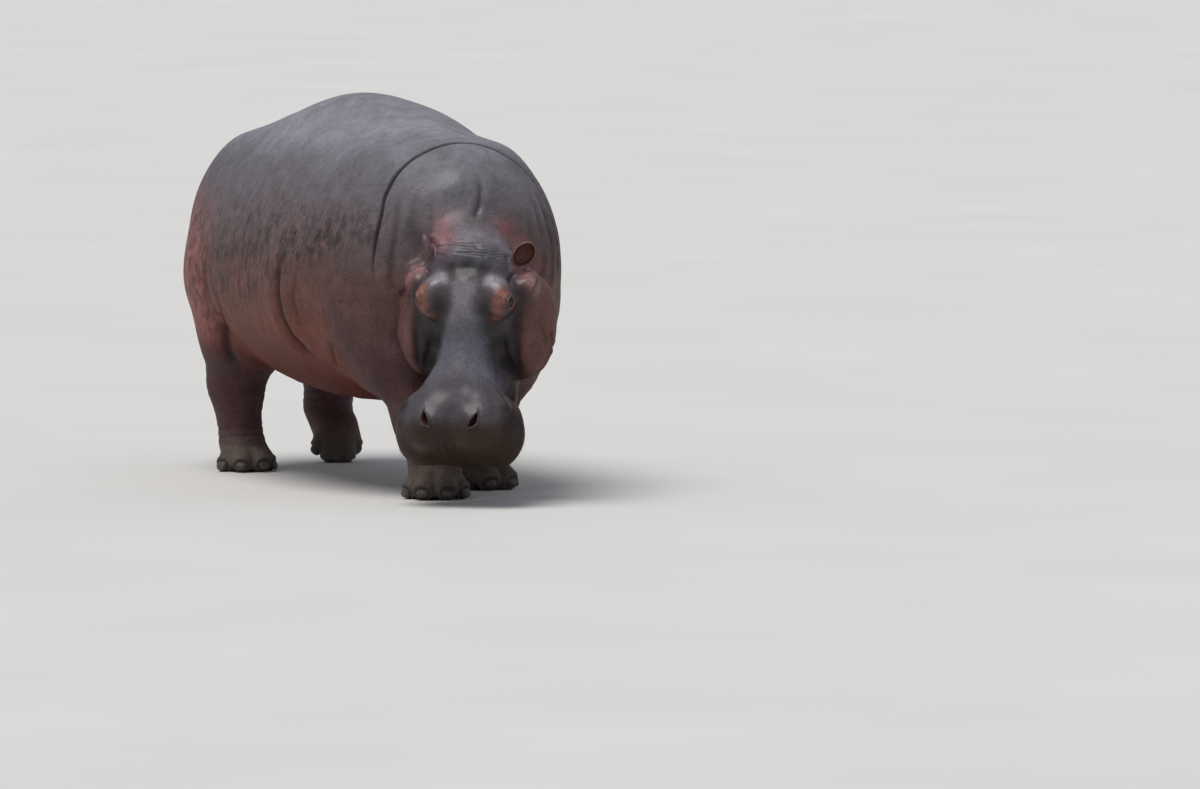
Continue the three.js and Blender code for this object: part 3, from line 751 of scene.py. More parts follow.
def wrinkles(p):
    """Small creases everywhere, drawn out across the way that the skin bends. Also gives painted shade in the creases
    of the nape.
    """
    forward, left, up = BODY.seen(p)
    f, l, u = HEAD.seen(p)
    out = np.abs(l)
    relief = 0.0035 * noise(p, 0.26, 1) + 0.0015 * noise(p, 0.11, 2)
    trunk = ease(forward, 0.95, 0.75) * ease(up, 0.36, 0.5)
    flank = trunk * ease(up, 1.22, 0.95)
    drawn = np.abs(noise(p, (0.030, 0.030, 0.16), 3)) + 0.5 * np.abs(noise(p, (0.017, 0.017, 0.08), 6))
    near_shoulder = bell(forward - 0.55, 0.26)
    relief += flank * (0.0012 + 0.0030 * near_shoulder) * (0.6 - drawn)
    belly = ease(up, 0.55, 0.40) * ease(forward, 0.75, 0.55) * ease(forward, -1.0, -0.8)
    relief += 0.0014 * belly * (0.5 - np.abs(noise(p, (0.03, 0.16, 0.03), 7)))
    nape = ease(f, -0.350, -0.285) * ease(f, -0.140, -0.180) * ease(out, 0.175, 0.12) * ease(u, -0.17, -0.09)
    seen = np.array((l, f + 0.9 * out**2, u))
    lines = 1 - 2.2 * np.abs(noise(seen, (0.050, 0.0135, 0.05), 8)) - 0.25 * np.abs(noise(seen, 0.02, 9))
    lines = nape * np.clip(lines, 0, 1) ** 2
    deep = 0.0016 + 0.0030 * bell(f + 0.200, 0.040)
    return relief + nape * 0.4 * deep - deep * lines, 0.55 * lines * bell(f + 0.200, 0.075)


def leg_wrinkles(p):
    """Creases round the legs, closest at the ankles and knees. Also gives painted shade in them."""
    relief, depth = np.zeros(p.shape[1]), np.zeros(p.shape[1])
    for leg in LEGS.values():
        up = p[2] - leg["foot"][2]
        share = ease(leg_field(leg)(p), 0.05, 0.015) * ease(up, 0.55, 0.42) * ease(up, 0.085, 0.12)
        phase = up + 0.012 * noise(p, 0.09, 11) + 0.004 * noise(p, 0.03, 12)
        ring = np.abs(np.sin(pi * phase / 0.034)) ** 0.5
        strength = 0.35 + 0.65 * bell(up - 0.14, 0.05) + 0.5 * bell(up - 0.33, 0.06)
        patchy = ease(noise(p, 0.07, 13), -0.7, 0.4)
        relief += share * strength * patchy * 0.0042 * (ring - 0.75)
        depth = np.maximum(depth, share * strength * patchy * ease(ring, 0.55, 0.1))
    return relief, depth


# ---- Eyelids, nostrils, ears and toes, which are moved towards a middle or pushed in ----
EYE_RADIUS = 0.025
GAZE = {"forward": 0.22, "out": 0.84, "up": 0.50}


def eye_frame(side):
    """A frame at the eyeball's middle that looks forward along the gaze, with its left along the lids."""
    centre = HEAD.point(0, side * EYE_OUT, -EYE_SINK)
    gaze = HEAD.axes @ np.array((side * GAZE["out"], -GAZE["forward"], GAZE["up"]))
    gaze /= np.linalg.norm(gaze)
    nose = HEAD.axes @ np.array((side * 0.10, -1.0, -0.30))
    along = nose - gaze * (nose @ gaze)
    along /= np.linalg.norm(along)
    return Frame(centre, np.array((along, -gaze, np.cross(along, -gaze))).T)


LID_LONG, LID_OPEN, LID_THICK = 0.74, 0.44, 0.0035  # half angles of the opening, in radians, and the lid's edge


def eyelids(p, side):
    """Draws the skin to the eyeball, with an opening between thick lids and creases round them. Also gives painted
    shade at the lids' edge and in the first crease.
    """
    eye = eye_frame(side)
    forward, along, up = eye.seen(p)
    upward = np.sign(HEAD.seen(eye.point(0, 0, 0.01)[:, None])[2][0] - HEAD.seen(eye.origin[:, None])[2][0])
    reach = length((forward, along, up))
    turned = np.arctan2(np.hypot(along, up), forward)
    a = turned * along / np.maximum(np.hypot(along, up), 1e-9)
    b = turned * up / np.maximum(np.hypot(along, up), 1e-9) * upward
    rise = np.where(b > 0, LID_OPEN * 1.10, LID_OPEN * 0.80) * np.maximum(1 - (a / LID_LONG) ** 2, 0.0)
    beyond = np.maximum(np.abs(b) - rise, 0) + np.maximum(np.abs(a) - LID_LONG, 0)
    inside = (np.abs(a) < LID_LONG) & (np.abs(b) < rise)
    edge = np.where(inside, -np.minimum(rise - np.abs(b), LID_LONG - np.abs(a)), beyond)
    uneven = 0.5 + 0.5 * noise(p, 0.018, 17)
    lid = EYE_RADIUS + LID_THICK + 0.0018 * bell(edge - 0.10, 0.09) + 0.010 * ease(edge, 0.35, 1.1)
    lid -= (0.0012 + 0.0014 * uneven) * bell(edge - 0.30 - 0.08 * uneven, 0.055)
    lid += 0.0012 * bell(edge - 0.44, 0.08) - 0.0020 * uneven * bell(edge - 0.62 + 0.10 * uneven, 0.05)
    lid -= 0.0012 * ease(edge, 0.2, 0.5) * bell(noise(np.array((a, b, a)), (0.16, 0.9, 0.4), 18), 0.25) * (b < 0)
    wanted = lid + (EYE_RADIUS * 0.72 - lid) * ease(edge, 0.03, -0.06)
    share = ease(turned, 1.75, 0.85) * ease(reach, 0.085, 0.055)
    scale = 1 + share * (wanted / np.maximum(reach, 1e-6) - 1)
    moved = eye.origin[:, None] + (p - eye.origin[:, None]) * scale
    shade = share * np.maximum(0.6 * bell(edge - 0.30 - 0.08 * uneven, 0.05), bell(edge, 0.07))
    return moved, np.minimum(shade, 1)


NOSTRIL = {"forward": 0.474, "out": 0.093, "up": -0.046, "half_length": 0.030, "half_width": 0.0095, "depth": 0.034}


def nostril(p, n, side, field):
    """A deep slit with a raised rim, whose rear end lies further out."""
    start = HEAD.point(NOSTRIL["forward"], side * NOSTRIL["out"], NOSTRIL["up"])[:, None]
    centre = on_skin(start, field)
    inward = HEAD.axes @ np.array((-side * 0.22, 0.42, -0.88))
    inward /= np.linalg.norm(inward)
    long_axis = HEAD.axes @ np.array((-side * 0.42, -0.90, -0.10))
    long_axis -= inward * (long_axis @ inward)
    long_axis /= np.linalg.norm(long_axis)
    across = np.cross(inward, long_axis)
    offset = p - centre
    s, t, deep = long_axis @ offset / NOSTRIL["half_length"], across @ offset, np.abs(inward @ offset)
    bowed = t * side + 0.004 * (1 - s * s)
    width = NOSTRIL["half_width"] * (1 + 0.28 * s) * np.sqrt(np.maximum(1.0 - 0.86 * s * s, 0.05))
    ring = np.sqrt(s**2 + (bowed / width) ** 2)
    local = ease(deep, 0.075, 0.045)
    hole = ease(ring, 1.05, 0.55) * local
    rim = (bell(ring - 1.55, 0.45) * ease(ring, 1.0, 1.2)) * local * ease(np.abs(s), 1.9, 1.2)
    moved = p + inward[:, None] * NOSTRIL["depth"] * hole + n * 0.0065 * rim
    return moved, ease(ring, 1.25, 0.75) * local


def ear_cup(p, side):
    """Hollows the front of an ear, and gives how far inside the hollow each vertex lies."""
    ear = ear_frame(side)
    forward, left, up = ear.seen(p)
    rho = np.hypot(left / 0.039, (up - EAR_MIDDLE - 0.004) / 0.054)
    front = ease(forward, -0.004, 0.006) * (up > 0.012)
    hollow = front * ease(rho, 1.0, 0.86)
    floor = -0.014 + 0.014 * np.minimum(rho, 1) ** 2 + 0.002 * np.cos(left / 0.007) * ease(rho, 0.9, 0.5)
    sink = hollow * (floor - forward)
    rim = bell(rho - 1.0, 0.09) * ease(forward, -0.012, 0.004) * (up > 0.012)
    close = length((forward, left, up - EAR_MIDDLE)) < 0.075
    thin = 0.45 * np.maximum(-forward - 0.006, 0) * ease(up, 0.045, 0.105) * close  # at the tip
    moved = p + (ear.axes @ np.array((0, -1.0, 0)))[:, None] * (sink + 0.0015 * rim + thin)
    return moved, hollow, rim


def nail_frame(leg, toe):
    angle, reach, radius = TOES[toe]
    spread, k = leg["foot"][-2:]
    angle *= spread
    along = (reach + radius * 0.66) * k
    c, s = cos(radians(angle)), sin(radians(angle))
    return foot_frame(leg).at(along * c, along * s, radius * 0.72 * k, angle, -24)


NAIL = (0.025, 0.015, 0.024)  # half width, half thickness and half height


def nail_beds(p):
    """A thick edge of skin round each nail, and painted shade in the groove round it."""
    relief, shade = np.zeros(p.shape[1]), np.zeros(p.shape[1])
    for leg in LEGS.values():
        for toe in range(len(TOES)):
            forward, left, up = nail_frame(leg, toe).seen(p)
            ring = length((left / NAIL[0], forward / (NAIL[1] * 1.4), up / NAIL[2]))
            relief += 0.0032 * bell(ring - 1.38, 0.22) - 0.003 * bell(ring - 1.0, 0.18)
            shade = np.maximum(shade, bell(ring - 1.08, 0.16))
    return relief, shade


def skin_piece():
    """The whole skin, sculpted, with what its material reads kept on its vertices."""
    field = flesh_field()
    mesh = plain_skin(field)
    p, n = points_of(mesh), normals_of(mesh)
    relief, depth = folds(p, field)
    neck_relief, neck_shade = neck_folds(p, field)
    set_points(mesh, p + n * (relief + neck_relief + face_forms(p)))
    depth = np.maximum(depth, neck_shade)

    p, n = points_of(mesh), normals_of(mesh)
    small, wrinkle_shade = wrinkles(p)
    rings, ring_shade = leg_wrinkles(p)
    beds, bed_shade = nail_beds(p)
    p = p + n * (small + rings + beds)
    p[2] = np.maximum(p[2], 0)
    set_points(mesh, p)
    depth = np.maximum.reduce((depth, wrinkle_shade, ring_shade, bed_shade))

    p, n = points_of(mesh), normals_of(mesh)
    marks = {name: np.zeros(p.shape[1]) for name in ("inside", "ear", "rim")}
    for side in SIDES:
        p, inside = nostril(p, n, side, field)
        marks["inside"] = np.maximum(marks["inside"], inside)
        p, shade = eyelids(p, side)
        depth = np.maximum(depth, shade)
        p, hollow, rim = ear_cup(p, side)
        marks["ear"] = np.maximum(marks["ear"], hollow)
        marks["rim"] = np.maximum(marks["rim"], 0.6 * rim)
    set_points(mesh, p)
    # The crease mark is painted shade: it darkens the hide in folds, wrinkles and round the lids and nails.
    marks["crease"] = np.clip(depth, 0, 1)
    paint(mesh, marks)
    mesh.shade_smooth()
    return new_object("skin", mesh)


# ---- Colours of the hide, and the shares of what its material adds ----
def colour(red, green, blue):
    return (red, green, blue, 1.0)


# Height, and the colour of the body there, from the back to the belly. The belly's row is red-brown skin darkened
# further as painted shade.
BODY_COLOURS = (
    (1.38, (0.206, 0.200, 0.228)),
    (1.24, (0.128, 0.119, 0.137)),
    (1.12, (0.124, 0.105, 0.117)),
    (0.90, (0.104, 0.066, 0.062)),
    (0.64, (0.178, 0.064, 0.048)),
    (0.40, (0.098, 0.016, 0.009)),
)
RUMP, NECK_SIDE, BREAST = (0.335, 0.144, 0.136), (0.146, 0.077, 0.071), (0.116, 0.063, 0.061)
# The legs' colour is their dark skin, darkened further as painted shade.
LEG_TONE_AND_SHADE, FOOT = (0.080, 0.039, 0.040), (0.100, 0.080, 0.068)
FACE, FACE_DARK_AND_SHADE, CROWN = (0.062, 0.050, 0.056), (0.017, 0.014, 0.016), (0.078, 0.069, 0.088)
BRIDGE, BRIDGE_LOW = (0.200, 0.184, 0.206), (0.108, 0.103, 0.129)
# The brow's colour is a painted highlight, lighter where the wet skin shines.
BROW_HIGHLIGHT, NAPE = (0.235, 0.220, 0.262), (0.166, 0.149, 0.172)
MUZZLE_TOP, MUZZLE, MUZZLE_SIDE = (0.072, 0.062, 0.074), (0.027, 0.012, 0.005), (0.014, 0.008, 0.007)
JOWL, CHEEK, CHIN = (0.122, 0.055, 0.048), (0.020, 0.010, 0.010), (0.100, 0.044, 0.038)
SALMON, PINK, PATCH = (0.240, 0.094, 0.070), (0.360, 0.180, 0.184), (0.235, 0.098, 0.099)
EAR_INSIDE, EAR_RIM = (0.070, 0.017, 0.009), (0.104, 0.050, 0.042)


def over(base, shade, share):
    """A colour laid over others, which are columns, by a share for each."""
    return base + (np.array(shade)[:, None] - base) * share


def spots(p, place, places, sides=SIDES):
    """The highest of several soft spots, each forward, out, up, a radius and a strength."""
    most = np.zeros(p.shape[1])
    for forward, out, up, radius, strength in places:
        for side in sides:
            gap = length(p - place.point(forward, side * out, up)[:, None])
            most = np.maximum(most, strength * bell(gap, radius))
    return most


def body_colour(p):
    forward, left, up = BODY.seen(p)
    neck = ease(forward, 0.78, 0.90)
    height = up + 0.02 * neck + 0.05 * fractal(p, (0.20, 0.20, 0.34), 3, 21)
    heights, colours = zip(*reversed(BODY_COLOURS))
    base = np.array([np.interp(height, heights, channel) for channel in zip(*colours)])
    rump = ease(forward + 0.05 * noise(p, 0.1, 41), -0.35, -0.85) * ease(up, 1.20, 0.85) * ease(up, 0.40, 0.60)
    base = over(base, RUMP, 0.85 * rump)
    base = over(base, NECK_SIDE, neck * ease(up, 0.94, 0.76))
    base = over(base, BREAST, ease(forward, 0.58, 0.72) * ease(up, 0.92, 0.72))
    fields = [ease(leg_field(leg)(p), 0.05, 0.0) for leg in LEGS.values()]
    rear = ease(forward, 0.0, -0.2)
    legs = np.maximum.reduce(fields) * ease(up + 0.03 * noise(p, 0.08, 42), 0.62 - 0.06 * rear, 0.44)
    # The legs take a dark colour that is partly painted shade.
    base = over(base, LEG_TONE_AND_SHADE, legs)
    return over(base, FOOT, legs * ease(up, 0.20, 0.05))


def face_colour(p, base):
    f, l, u = HEAD.seen(p)
    out = np.abs(l)
    ragged = 0.012 * fractal(p, 0.05, 3, 22)
    head = ease(head_field()(p), 0.030, 0.0) * ease(f, -0.27, -0.19)
    nape = ease(f, -0.37, -0.27) * ease(f, -0.18, -0.22) * ease(out, 0.20, 0.12) * ease(u, -0.20, -0.10)
    base = over(base, NAPE, nape)
    face = over(over(base, FACE, 1.0), CHEEK, ease(out, 0.15, 0.20) * ease(u, 0.0, -0.06))
    width = 0.040 + 0.42 * np.clip(f - 0.015, 0, 0.30) + ragged
    bridge = ease(out, width + 0.022, width - 0.022) * ease(f, -0.09, -0.04) * ease(u, -0.26, -0.18)
    face = over(face, BRIDGE, bridge * ease(f, 0.17, 0.02))
    face = over(face, BRIDGE_LOW, bridge * ease(f, 0.02, 0.17))
    top = ease(f + ragged, 0.24, 0.34) * ease(u, -0.22, -0.13)
    face = over(face, MUZZLE_TOP, top)
    face = over(face, MUZZLE_SIDE, ease(f, 0.26, 0.36) * ease(out + ragged, 0.165, 0.215))
    face = over(face, MUZZLE, ease(f + ragged, 0.43, 0.53))
    face = over(face, MUZZLE, ease(f, 0.20, 0.35) * ease(u, -0.20, -0.28))
    jowl = ease(out + ragged, 0.182, 0.232) * ease(f, 0.27, 0.15) * ease(u, -0.05, -0.14)
    face = over(face, JOWL, jowl)
    face = over(face, CHIN, ease(u + ragged, -0.30, -0.38) * ease(f, 0.45, 0.30))
    face = over(face, CROWN, ease(f, -0.10, -0.17) * ease(u, -0.12, -0.05))
    # Painted highlight on the brows and the middle of the forehead.
    face = over(face, BROW_HIGHLIGHT, spots(p, HEAD, ((-0.075, 0.118, 0.01, 0.036, 0.9), (-0.050, 0.0, 0.02, 0.045, 0.7))))
    # Dark spots: painted shade in the hollow of the forehead, and dark skin with painted shade in the hollows beside
    # the bridge.
    face = over(face, FACE_DARK_AND_SHADE, spots(p, HEAD, (
        (-0.118, 0.0, 0.02, 0.046, 1.0), (-0.128, 0.055, 0.01, 0.034, 0.7), (0.035, 0.095, 0.0, 0.040, 1.0),
        (0.080, 0.108, -0.06, 0.042, 1.0), (0.125, 0.134, -0.12, 0.042, 1.0), (0.170, 0.155, -0.18, 0.045, 0.9))))
    return over(base, FACE, 0.0) + (face - base) * head


def hide_colour(p, marks):
    base = face_colour(p, body_colour(p))
    ragged = 1 + 0.25 * fractal(p, 0.035, 3, 23)
    base = over(base, PATCH, np.clip(ragged * np.maximum(
        spots(p, BODY, ((1.085, 0.185, 1.000, 0.060, 0.9), (1.045, 0.160, 1.055, 0.045, 0.8)), (-1,)),
        spots(p, BODY, ((1.070, 0.095, 1.030, 0.055, 0.9), (1.050, 0.150, 0.960, 0.066, 1.0),
                        (1.000, 0.235, 0.870, 0.060, 0.8)), (1,))), 0, 1))
    base = over(base, PINK, np.clip(ragged * spots(p, HEAD, (
        (-0.145, 0.215, -0.060, 0.038, 1.0), (-0.105, 0.240, -0.070, 0.036, 0.9), (-0.180, 0.19, -0.05, 0.034, 0.7))), 0, 1))
    salmon = np.maximum(
        spots(p, HEAD, ((-0.022, 0.150, 0.012, 0.024, 0.85), (0.012, 0.143, 0.012, 0.026, 0.85),
                        (0.040, 0.136, -0.006, 0.024, 0.75), (0.062, 0.124, -0.040, 0.021, 0.6),
                        (0.006, 0.188, -0.020, 0.022, 0.5)), (1,)),
        spots(p, HEAD, ((-0.030, 0.164, 0.010, 0.023, 1.0), (0.000, 0.162, 0.010, 0.024, 1.0),
                        (0.028, 0.150, -0.004, 0.023, 1.0), (0.050, 0.130, -0.030, 0.019, 1.0)), (-1,)))
    base = over(base, SALMON, np.clip(1.35 * ragged * salmon, 0, 1))
    base = over(base, EAR_RIM, marks.pop("rim"))
    base = over(base, EAR_INSIDE, marks.pop("ear"))
    return base * (1 + 0.13 * fractal(p, 0.05, 3, 24) + 0.10 * noise(p, 0.28, 25))


def paint(mesh, marks):
    """Keeps the hide's colour and the marks on the vertices, for the material."""
    p = points_of(mesh)
    forward, left, up = BODY.seen(p)
    f, l, u = HEAD.seen(p)
    head = ease(f, -0.30, -0.20)
    hide = np.vstack((np.clip(hide_colour(p, marks), 0.004, 1), np.ones(p.shape[1])))
    low = 0.50 - 0.14 * bell(forward - 0.62, 0.22)
    flank = ease(up, low - 0.08, low + 0.12) * ease(up, 1.20, 0.98) * ease(forward, -1.15, -0.9) * (1 - ease(forward, 0.85, 1.0))
    marks["mottle"] = np.maximum(flank * (0.72 + 0.35 * bell(forward - 0.45, 0.30)), 0.22 * ease(up, 0.6, 0.5))
    marks["mottle"] *= 1 - head
    muzzle = head * ease(f, 0.40, 0.50)
    marks["mud"] = np.maximum.reduce((0.80 * muzzle, head * ease(f, 0.30, 0.42) * 0.5, 0.8 * ease(up, 0.10, 0.02)))
    neck_top = bell(forward - 0.90, 0.12) * ease(up, 1.0, 1.15)
    marks["specks"] = np.maximum.reduce((0.55 * ease(up, 1.0, 1.2), neck_top, 0.8 * head, 0.35 + 0 * up))
    marks["wet"] = np.maximum.reduce((
        0.40 * head * ease(u, -0.20, -0.06), 0.45 * bell(forward - 1.02, 0.10) * ease(up, 1.0, 1.1),
        spots(p, HEAD, ((-0.075, 0.125, 0.02, 0.050, 0.9), (-0.050, 0.0, 0.02, 0.045, 0.5),
                        (0.440, 0.095, -0.04, 0.050, 0.5), (-0.11, 0.22, -0.05, 0.050, 0.7)))))
    layer = mesh.attributes.new("hide", "FLOAT_COLOR", "POINT")
    layer.data.foreach_set("color", hide.T.astype(np.float32).ravel())
    for name, values in marks.items():
        attribute = mesh.attributes.new(name, "FLOAT", "POINT")
        attribute.data.foreach_set("value", np.clip(values, 0, 1).astype(np.float32))


# ---- Materials ----
class Graph:
    """A short way to write a material's nodes."""

    def __init__(self, name):
        self.material = bpy.data.materials.new(name)
        self.material.use_nodes = True
        self.tree = self.material.node_tree
        self.shader = self.tree.nodes["Principled BSDF"]
        self.place = self.node("TexCoord").outputs["Object"]

    def node(self, kind, inputs=None, **settings):
        made = self.tree.nodes.new("ShaderNode" + kind)
        for key, value in settings.items():
            setattr(made, key, value)
        for key, value in (inputs or {}).items():
            self.put(made.inputs[key], value)
        return made

    def put(self, socket, value):
        if isinstance(value, bpy.types.NodeSocket):
            self.tree.links.new(value, socket)
        else:
            socket.default_value = value

    def mark(self, name):
        return self.node("Attribute", attribute_name=name).outputs["Fac"]

    def math(self, operation, a, b=0.0, clamp=False):
        return self.node("Math", {0: a, 1: b}, operation=operation, use_clamp=clamp).outputs[0]

    def sum(self, start, *terms):
        """A number plus each (value - 0.5) * weight."""
        for value, weight in terms:
            made = self.node("Math", {0: value, 1: weight, 2: -0.5 * weight}, operation="MULTIPLY_ADD").outputs[0]
            start = self.math("ADD", start, made)
        return start

    def span(self, value, low, high, start=0.0, end=1.0):
        inputs = {"Value": value, "From Min": low, "From Max": high, "To Min": start, "To Max": end}
        return self.node("MapRange", inputs, interpolation_type="SMOOTHSTEP").outputs[0]

    def mix(self, a, b, share):
        made = self.node("Mix", data_type="RGBA")
        for index, value in ((0, share), (6, a), (7, b)):
            self.put(made.inputs[index], value)
        return made.outputs[2]

    def drawn_out(self, x, y, z):
        return self.node("Mapping", {"Vector": self.place, "Scale": (x, y, z)}).outputs[0]

    def noise(self, scale, detail=3.0, rough=0.5, bent=0.0, place=None):
        inputs = {"Vector": place or self.place, "Scale": scale, "Detail": detail, "Roughness": rough, "Distortion": bent}
        return self.node("TexNoise", inputs).outputs[0]

    def bump(self, height):
        """Raises the surface by a height in metres."""
        normal = self.node("Bump", {"Height": height, "Strength": 1.0, "Distance": 1.0}).outputs[0]
        self.put(self.shader.inputs["Normal"], normal)


BLOT, VEIN, MUD, DRY_MUD = colour(0.026, 0.020, 0.022), colour(0.185, 0.085, 0.076), colour(0.024, 0.018, 0.013), colour(0.100, 0.076, 0.055)
# The first of these is the colour of painted shade in the creases.
CREASE_SHADE, SPECK, NOSTRIL_PINK = colour(0.012, 0.008, 0.008), colour(0.014, 0.012, 0.011), colour(0.060, 0.016, 0.017)


def skin_material():
    g = Graph("hide")
    grain = g.noise(30, 4, 0.65)
    fine = g.noise(130, 3, 0.65)
    streaks = g.noise(1.0, 4, 0.68, 0.0, g.drawn_out(38, 38, 15))
    blots = g.noise(1.0, 5, 0.72, 0.0, g.drawn_out(26, 26, 20))
    patches = g.noise(5.5, 2, 0.5)
    mottle, wet = g.mark("mottle"), g.mark("wet")

    lightness = g.sum(1.0, (grain, 0.70), (fine, 0.80))
    lightness = g.math("ADD", lightness, g.math("MULTIPLY", mottle, g.sum(0.0, (streaks, 2.2))))
    hide = g.node("Attribute", attribute_name="hide").outputs["Color"]
    base = g.node("VectorMath", {0: hide, "Scale": lightness}, operation="SCALE").outputs[0]
    veins = g.math("MULTIPLY", g.span(streaks, 0.50, 0.64), g.math("MULTIPLY", mottle, 0.50))
    base = g.mix(base, VEIN, veins)
    thick = g.span(g.sum(0.0, (blots, 1.0), (patches, 0.35)), -0.05, 0.12)
    base = g.mix(base, BLOT, g.math("MULTIPLY", thick, g.math("MULTIPLY", mottle, 0.72)))
    mud = g.math("MULTIPLY", g.span(g.sum(0.0, (grain, 1.5), (fine, 1.2)), -0.10, 0.42), g.mark("mud"))
    base = g.mix(base, MUD, g.math("MULTIPLY", mud, 0.8))
    dry = g.math("MULTIPLY", g.span(fine, 0.58, 0.70), g.mark("mud"))
    base = g.mix(base, DRY_MUD, g.math("MULTIPLY", dry, 0.55))
    specks = g.math("MULTIPLY", g.span(g.noise(120, 1, 0.5), 0.675, 0.70), g.span(patches, 0.44, 0.58))
    base = g.mix(base, SPECK, g.math("MULTIPLY", specks, g.mark("specks")))
    base = g.mix(base, NOSTRIL_PINK, g.mark("inside"))
    # Painted shade darkens the hide in the creases, by the crease mark.
    base = g.mix(base, CREASE_SHADE, g.math("MULTIPLY", g.mark("crease"), 0.70))
    g.put(g.shader.inputs["Base Color"], base)

    rough = g.math("SUBTRACT", g.sum(0.58, (fine, 0.35), (grain, 0.20)), g.math("MULTIPLY", wet, 0.30))
    g.put(g.shader.inputs["Roughness"], g.math("ADD", rough, g.math("MULTIPLY", mud, 0.12), clamp=True))
    g.put(g.shader.inputs["Specular IOR Level"], 0.14)
    g.put(g.shader.inputs["Coat Weight"], g.math("MULTIPLY", wet, 0.75))
    g.put(g.shader.inputs["Coat Roughness"], 0.24)
    ridges = g.math("ABSOLUTE", g.sum(0.0, (g.noise(70, 2, 0.5, 0.3), 2.0)))
    height = g.sum(0.0, (grain, 0.0045), (fine, 0.0016), (streaks, 0.0030))
    height = g.math("ADD", height, g.math("MULTIPLY", g.span(ridges, 0.0, 0.12), 0.00022))
    g.bump(height)
    return g.material


def nail_material():
    g = Graph("horn")
    growth = g.noise(1.0, 3, 0.6, 0.2, g.drawn_out(50, 50, 260))
    dirt = g.noise(60, 4, 0.7)
    base = g.mix(colour(0.042, 0.034, 0.030), colour(0.098, 0.082, 0.072), g.span(growth, 0.25, 0.75))
    g.put(g.shader.inputs["Base Color"], g.mix(base, MUD, g.span(dirt, 0.46, 0.70)))
    g.put(g.shader.inputs["Roughness"], g.span(dirt, 0.3, 0.7, 0.42, 0.72))
    g.bump(g.sum(0.0, (growth, 0.0012), (dirt, 0.0010)))
    return g.material


def eye_material():
    g = Graph("eyeball")
    rays = g.noise(420, 4, 0.6)
    white = g.mix(colour(0.040, 0.014, 0.010), colour(0.072, 0.028, 0.020), rays)
    iris = g.mix(colour(0.006, 0.003, 0.002), colour(0.030, 0.012, 0.005), g.span(rays, 0.3, 0.7))
    base = g.mix(white, iris, g.mark("iris"))
    g.put(g.shader.inputs["Base Color"], g.mix(base, colour(0.003, 0.002, 0.002), g.mark("pupil")))
    g.put(g.shader.inputs["Roughness"], g.span(rays, 0.3, 0.7, 0.12, 0.20))
    g.put(g.shader.inputs["Specular IOR Level"], 0.3)
    g.put(g.shader.inputs["Coat Weight"], 0.3)
    g.put(g.shader.inputs["Coat Roughness"], 0.03)
    return g.material


def bristle_material():
    g = Graph("bristle")
    along = g.noise(160, 3, 0.6)
    g.put(g.shader.inputs["Base Color"], g.mix(colour(0.020, 0.014, 0.010), colour(0.075, 0.052, 0.036), along))
    g.put(g.shader.inputs["Roughness"], g.span(along, 0.3, 0.7, 0.40, 0.60))
    return g.material


# ---- Eyes, nails and bristles ----
def sphere_points(around, up):
    """Unit vectors on a ball's rings, with faces. The poles are single points."""
    rings = [(sin(pi * j / up), cos(pi * j / up)) for j in range(1, up)]
    points = [(r * cos(2 * pi * i / around), r * sin(2 * pi * i / around), z) for r, z in rings for i in range(around)]
    top, bottom = len(points), len(points) + 1
    points += [(0, 0, 1), (0, 0, -1)]
    faces = [(top, i, (i + 1) % around) for i in range(around)]
    last = (up - 2) * around
    faces += [(bottom, last + (i + 1) % around, last + i) for i in range(around)]
    for j in range(up - 2):
        for i in range(around):
            a, b = j * around + i, j * around + (i + 1) % around
            faces.append((a, a + around, b + around, b))
    return np.array(points).T, faces


def closed_mesh(name, points, faces, material):
    mesh = bpy.data.meshes.new(name)
    mesh.from_pydata([tuple(q) for q in points.T], [], faces)
    mesh.materials.append(material)
    mesh.shade_smooth()
    return new_object(name, mesh)


def eyeball(name, side, material):
    """A ball with a low clear bulge, a brown iris and a wide pupil."""
    eye = eye_frame(side)
    unit, faces = sphere_points(96, 72)
    x, y, z = unit[0], -unit[2], unit[1]  # the poles lie on the gaze, where the rings are closest
    turned = np.arccos(np.clip(-y, -1, 1))
    radius = (EYE_RADIUS - 0.0006) * (1 + 0.05 * bell(turned, 0.42))
    obj = closed_mesh(name, eye.origin[:, None] + eye.axes @ (np.array((x, y, z)) * radius), faces, material)
    a = turned * x / np.maximum(np.hypot(x, z), 1e-9)
    b = turned * z / np.maximum(np.hypot(x, z), 1e-9)
    values = {"iris": ease(turned, 0.56, 0.50), "pupil": ease(np.hypot(a / 0.27, b / 0.15), 1.08, 0.95)}
    for mark, value in values.items():
        attribute = obj.data.attributes.new(mark, "FLOAT", "POINT")
        attribute.data.foreach_set("value", value.astype(np.float32))
    return obj


def nails(name, leg, material):
    """One foot's four nails: blunt shields with growth lines, standing proud of the toes."""
    unit, faces = sphere_points(40, 28)
    square = np.sign(unit) * np.abs(unit) ** 0.82
    all_points, all_faces = [], []
    for toe in range(len(TOES)):
        nail = nail_frame(leg, toe)
        k = leg["foot"][-1]
        lines = 1 + 0.012 * np.sin(unit[2] * 26)
        local = square * np.array(NAIL)[:, None] * k * 0.99 * lines
        local[1] -= 0.12 * NAIL[1] * k * (1 - unit[2]) * (unit[1] < 0)
        placed = nail.origin[:, None] + nail.axes @ local
        placed[2] = np.maximum(placed[2], 0.0015)
        all_faces += [tuple(i + toe * unit.shape[1] for i in face) for face in faces]
        all_points.append(placed)
    return closed_mesh(name, np.hstack(all_points), all_faces, material)


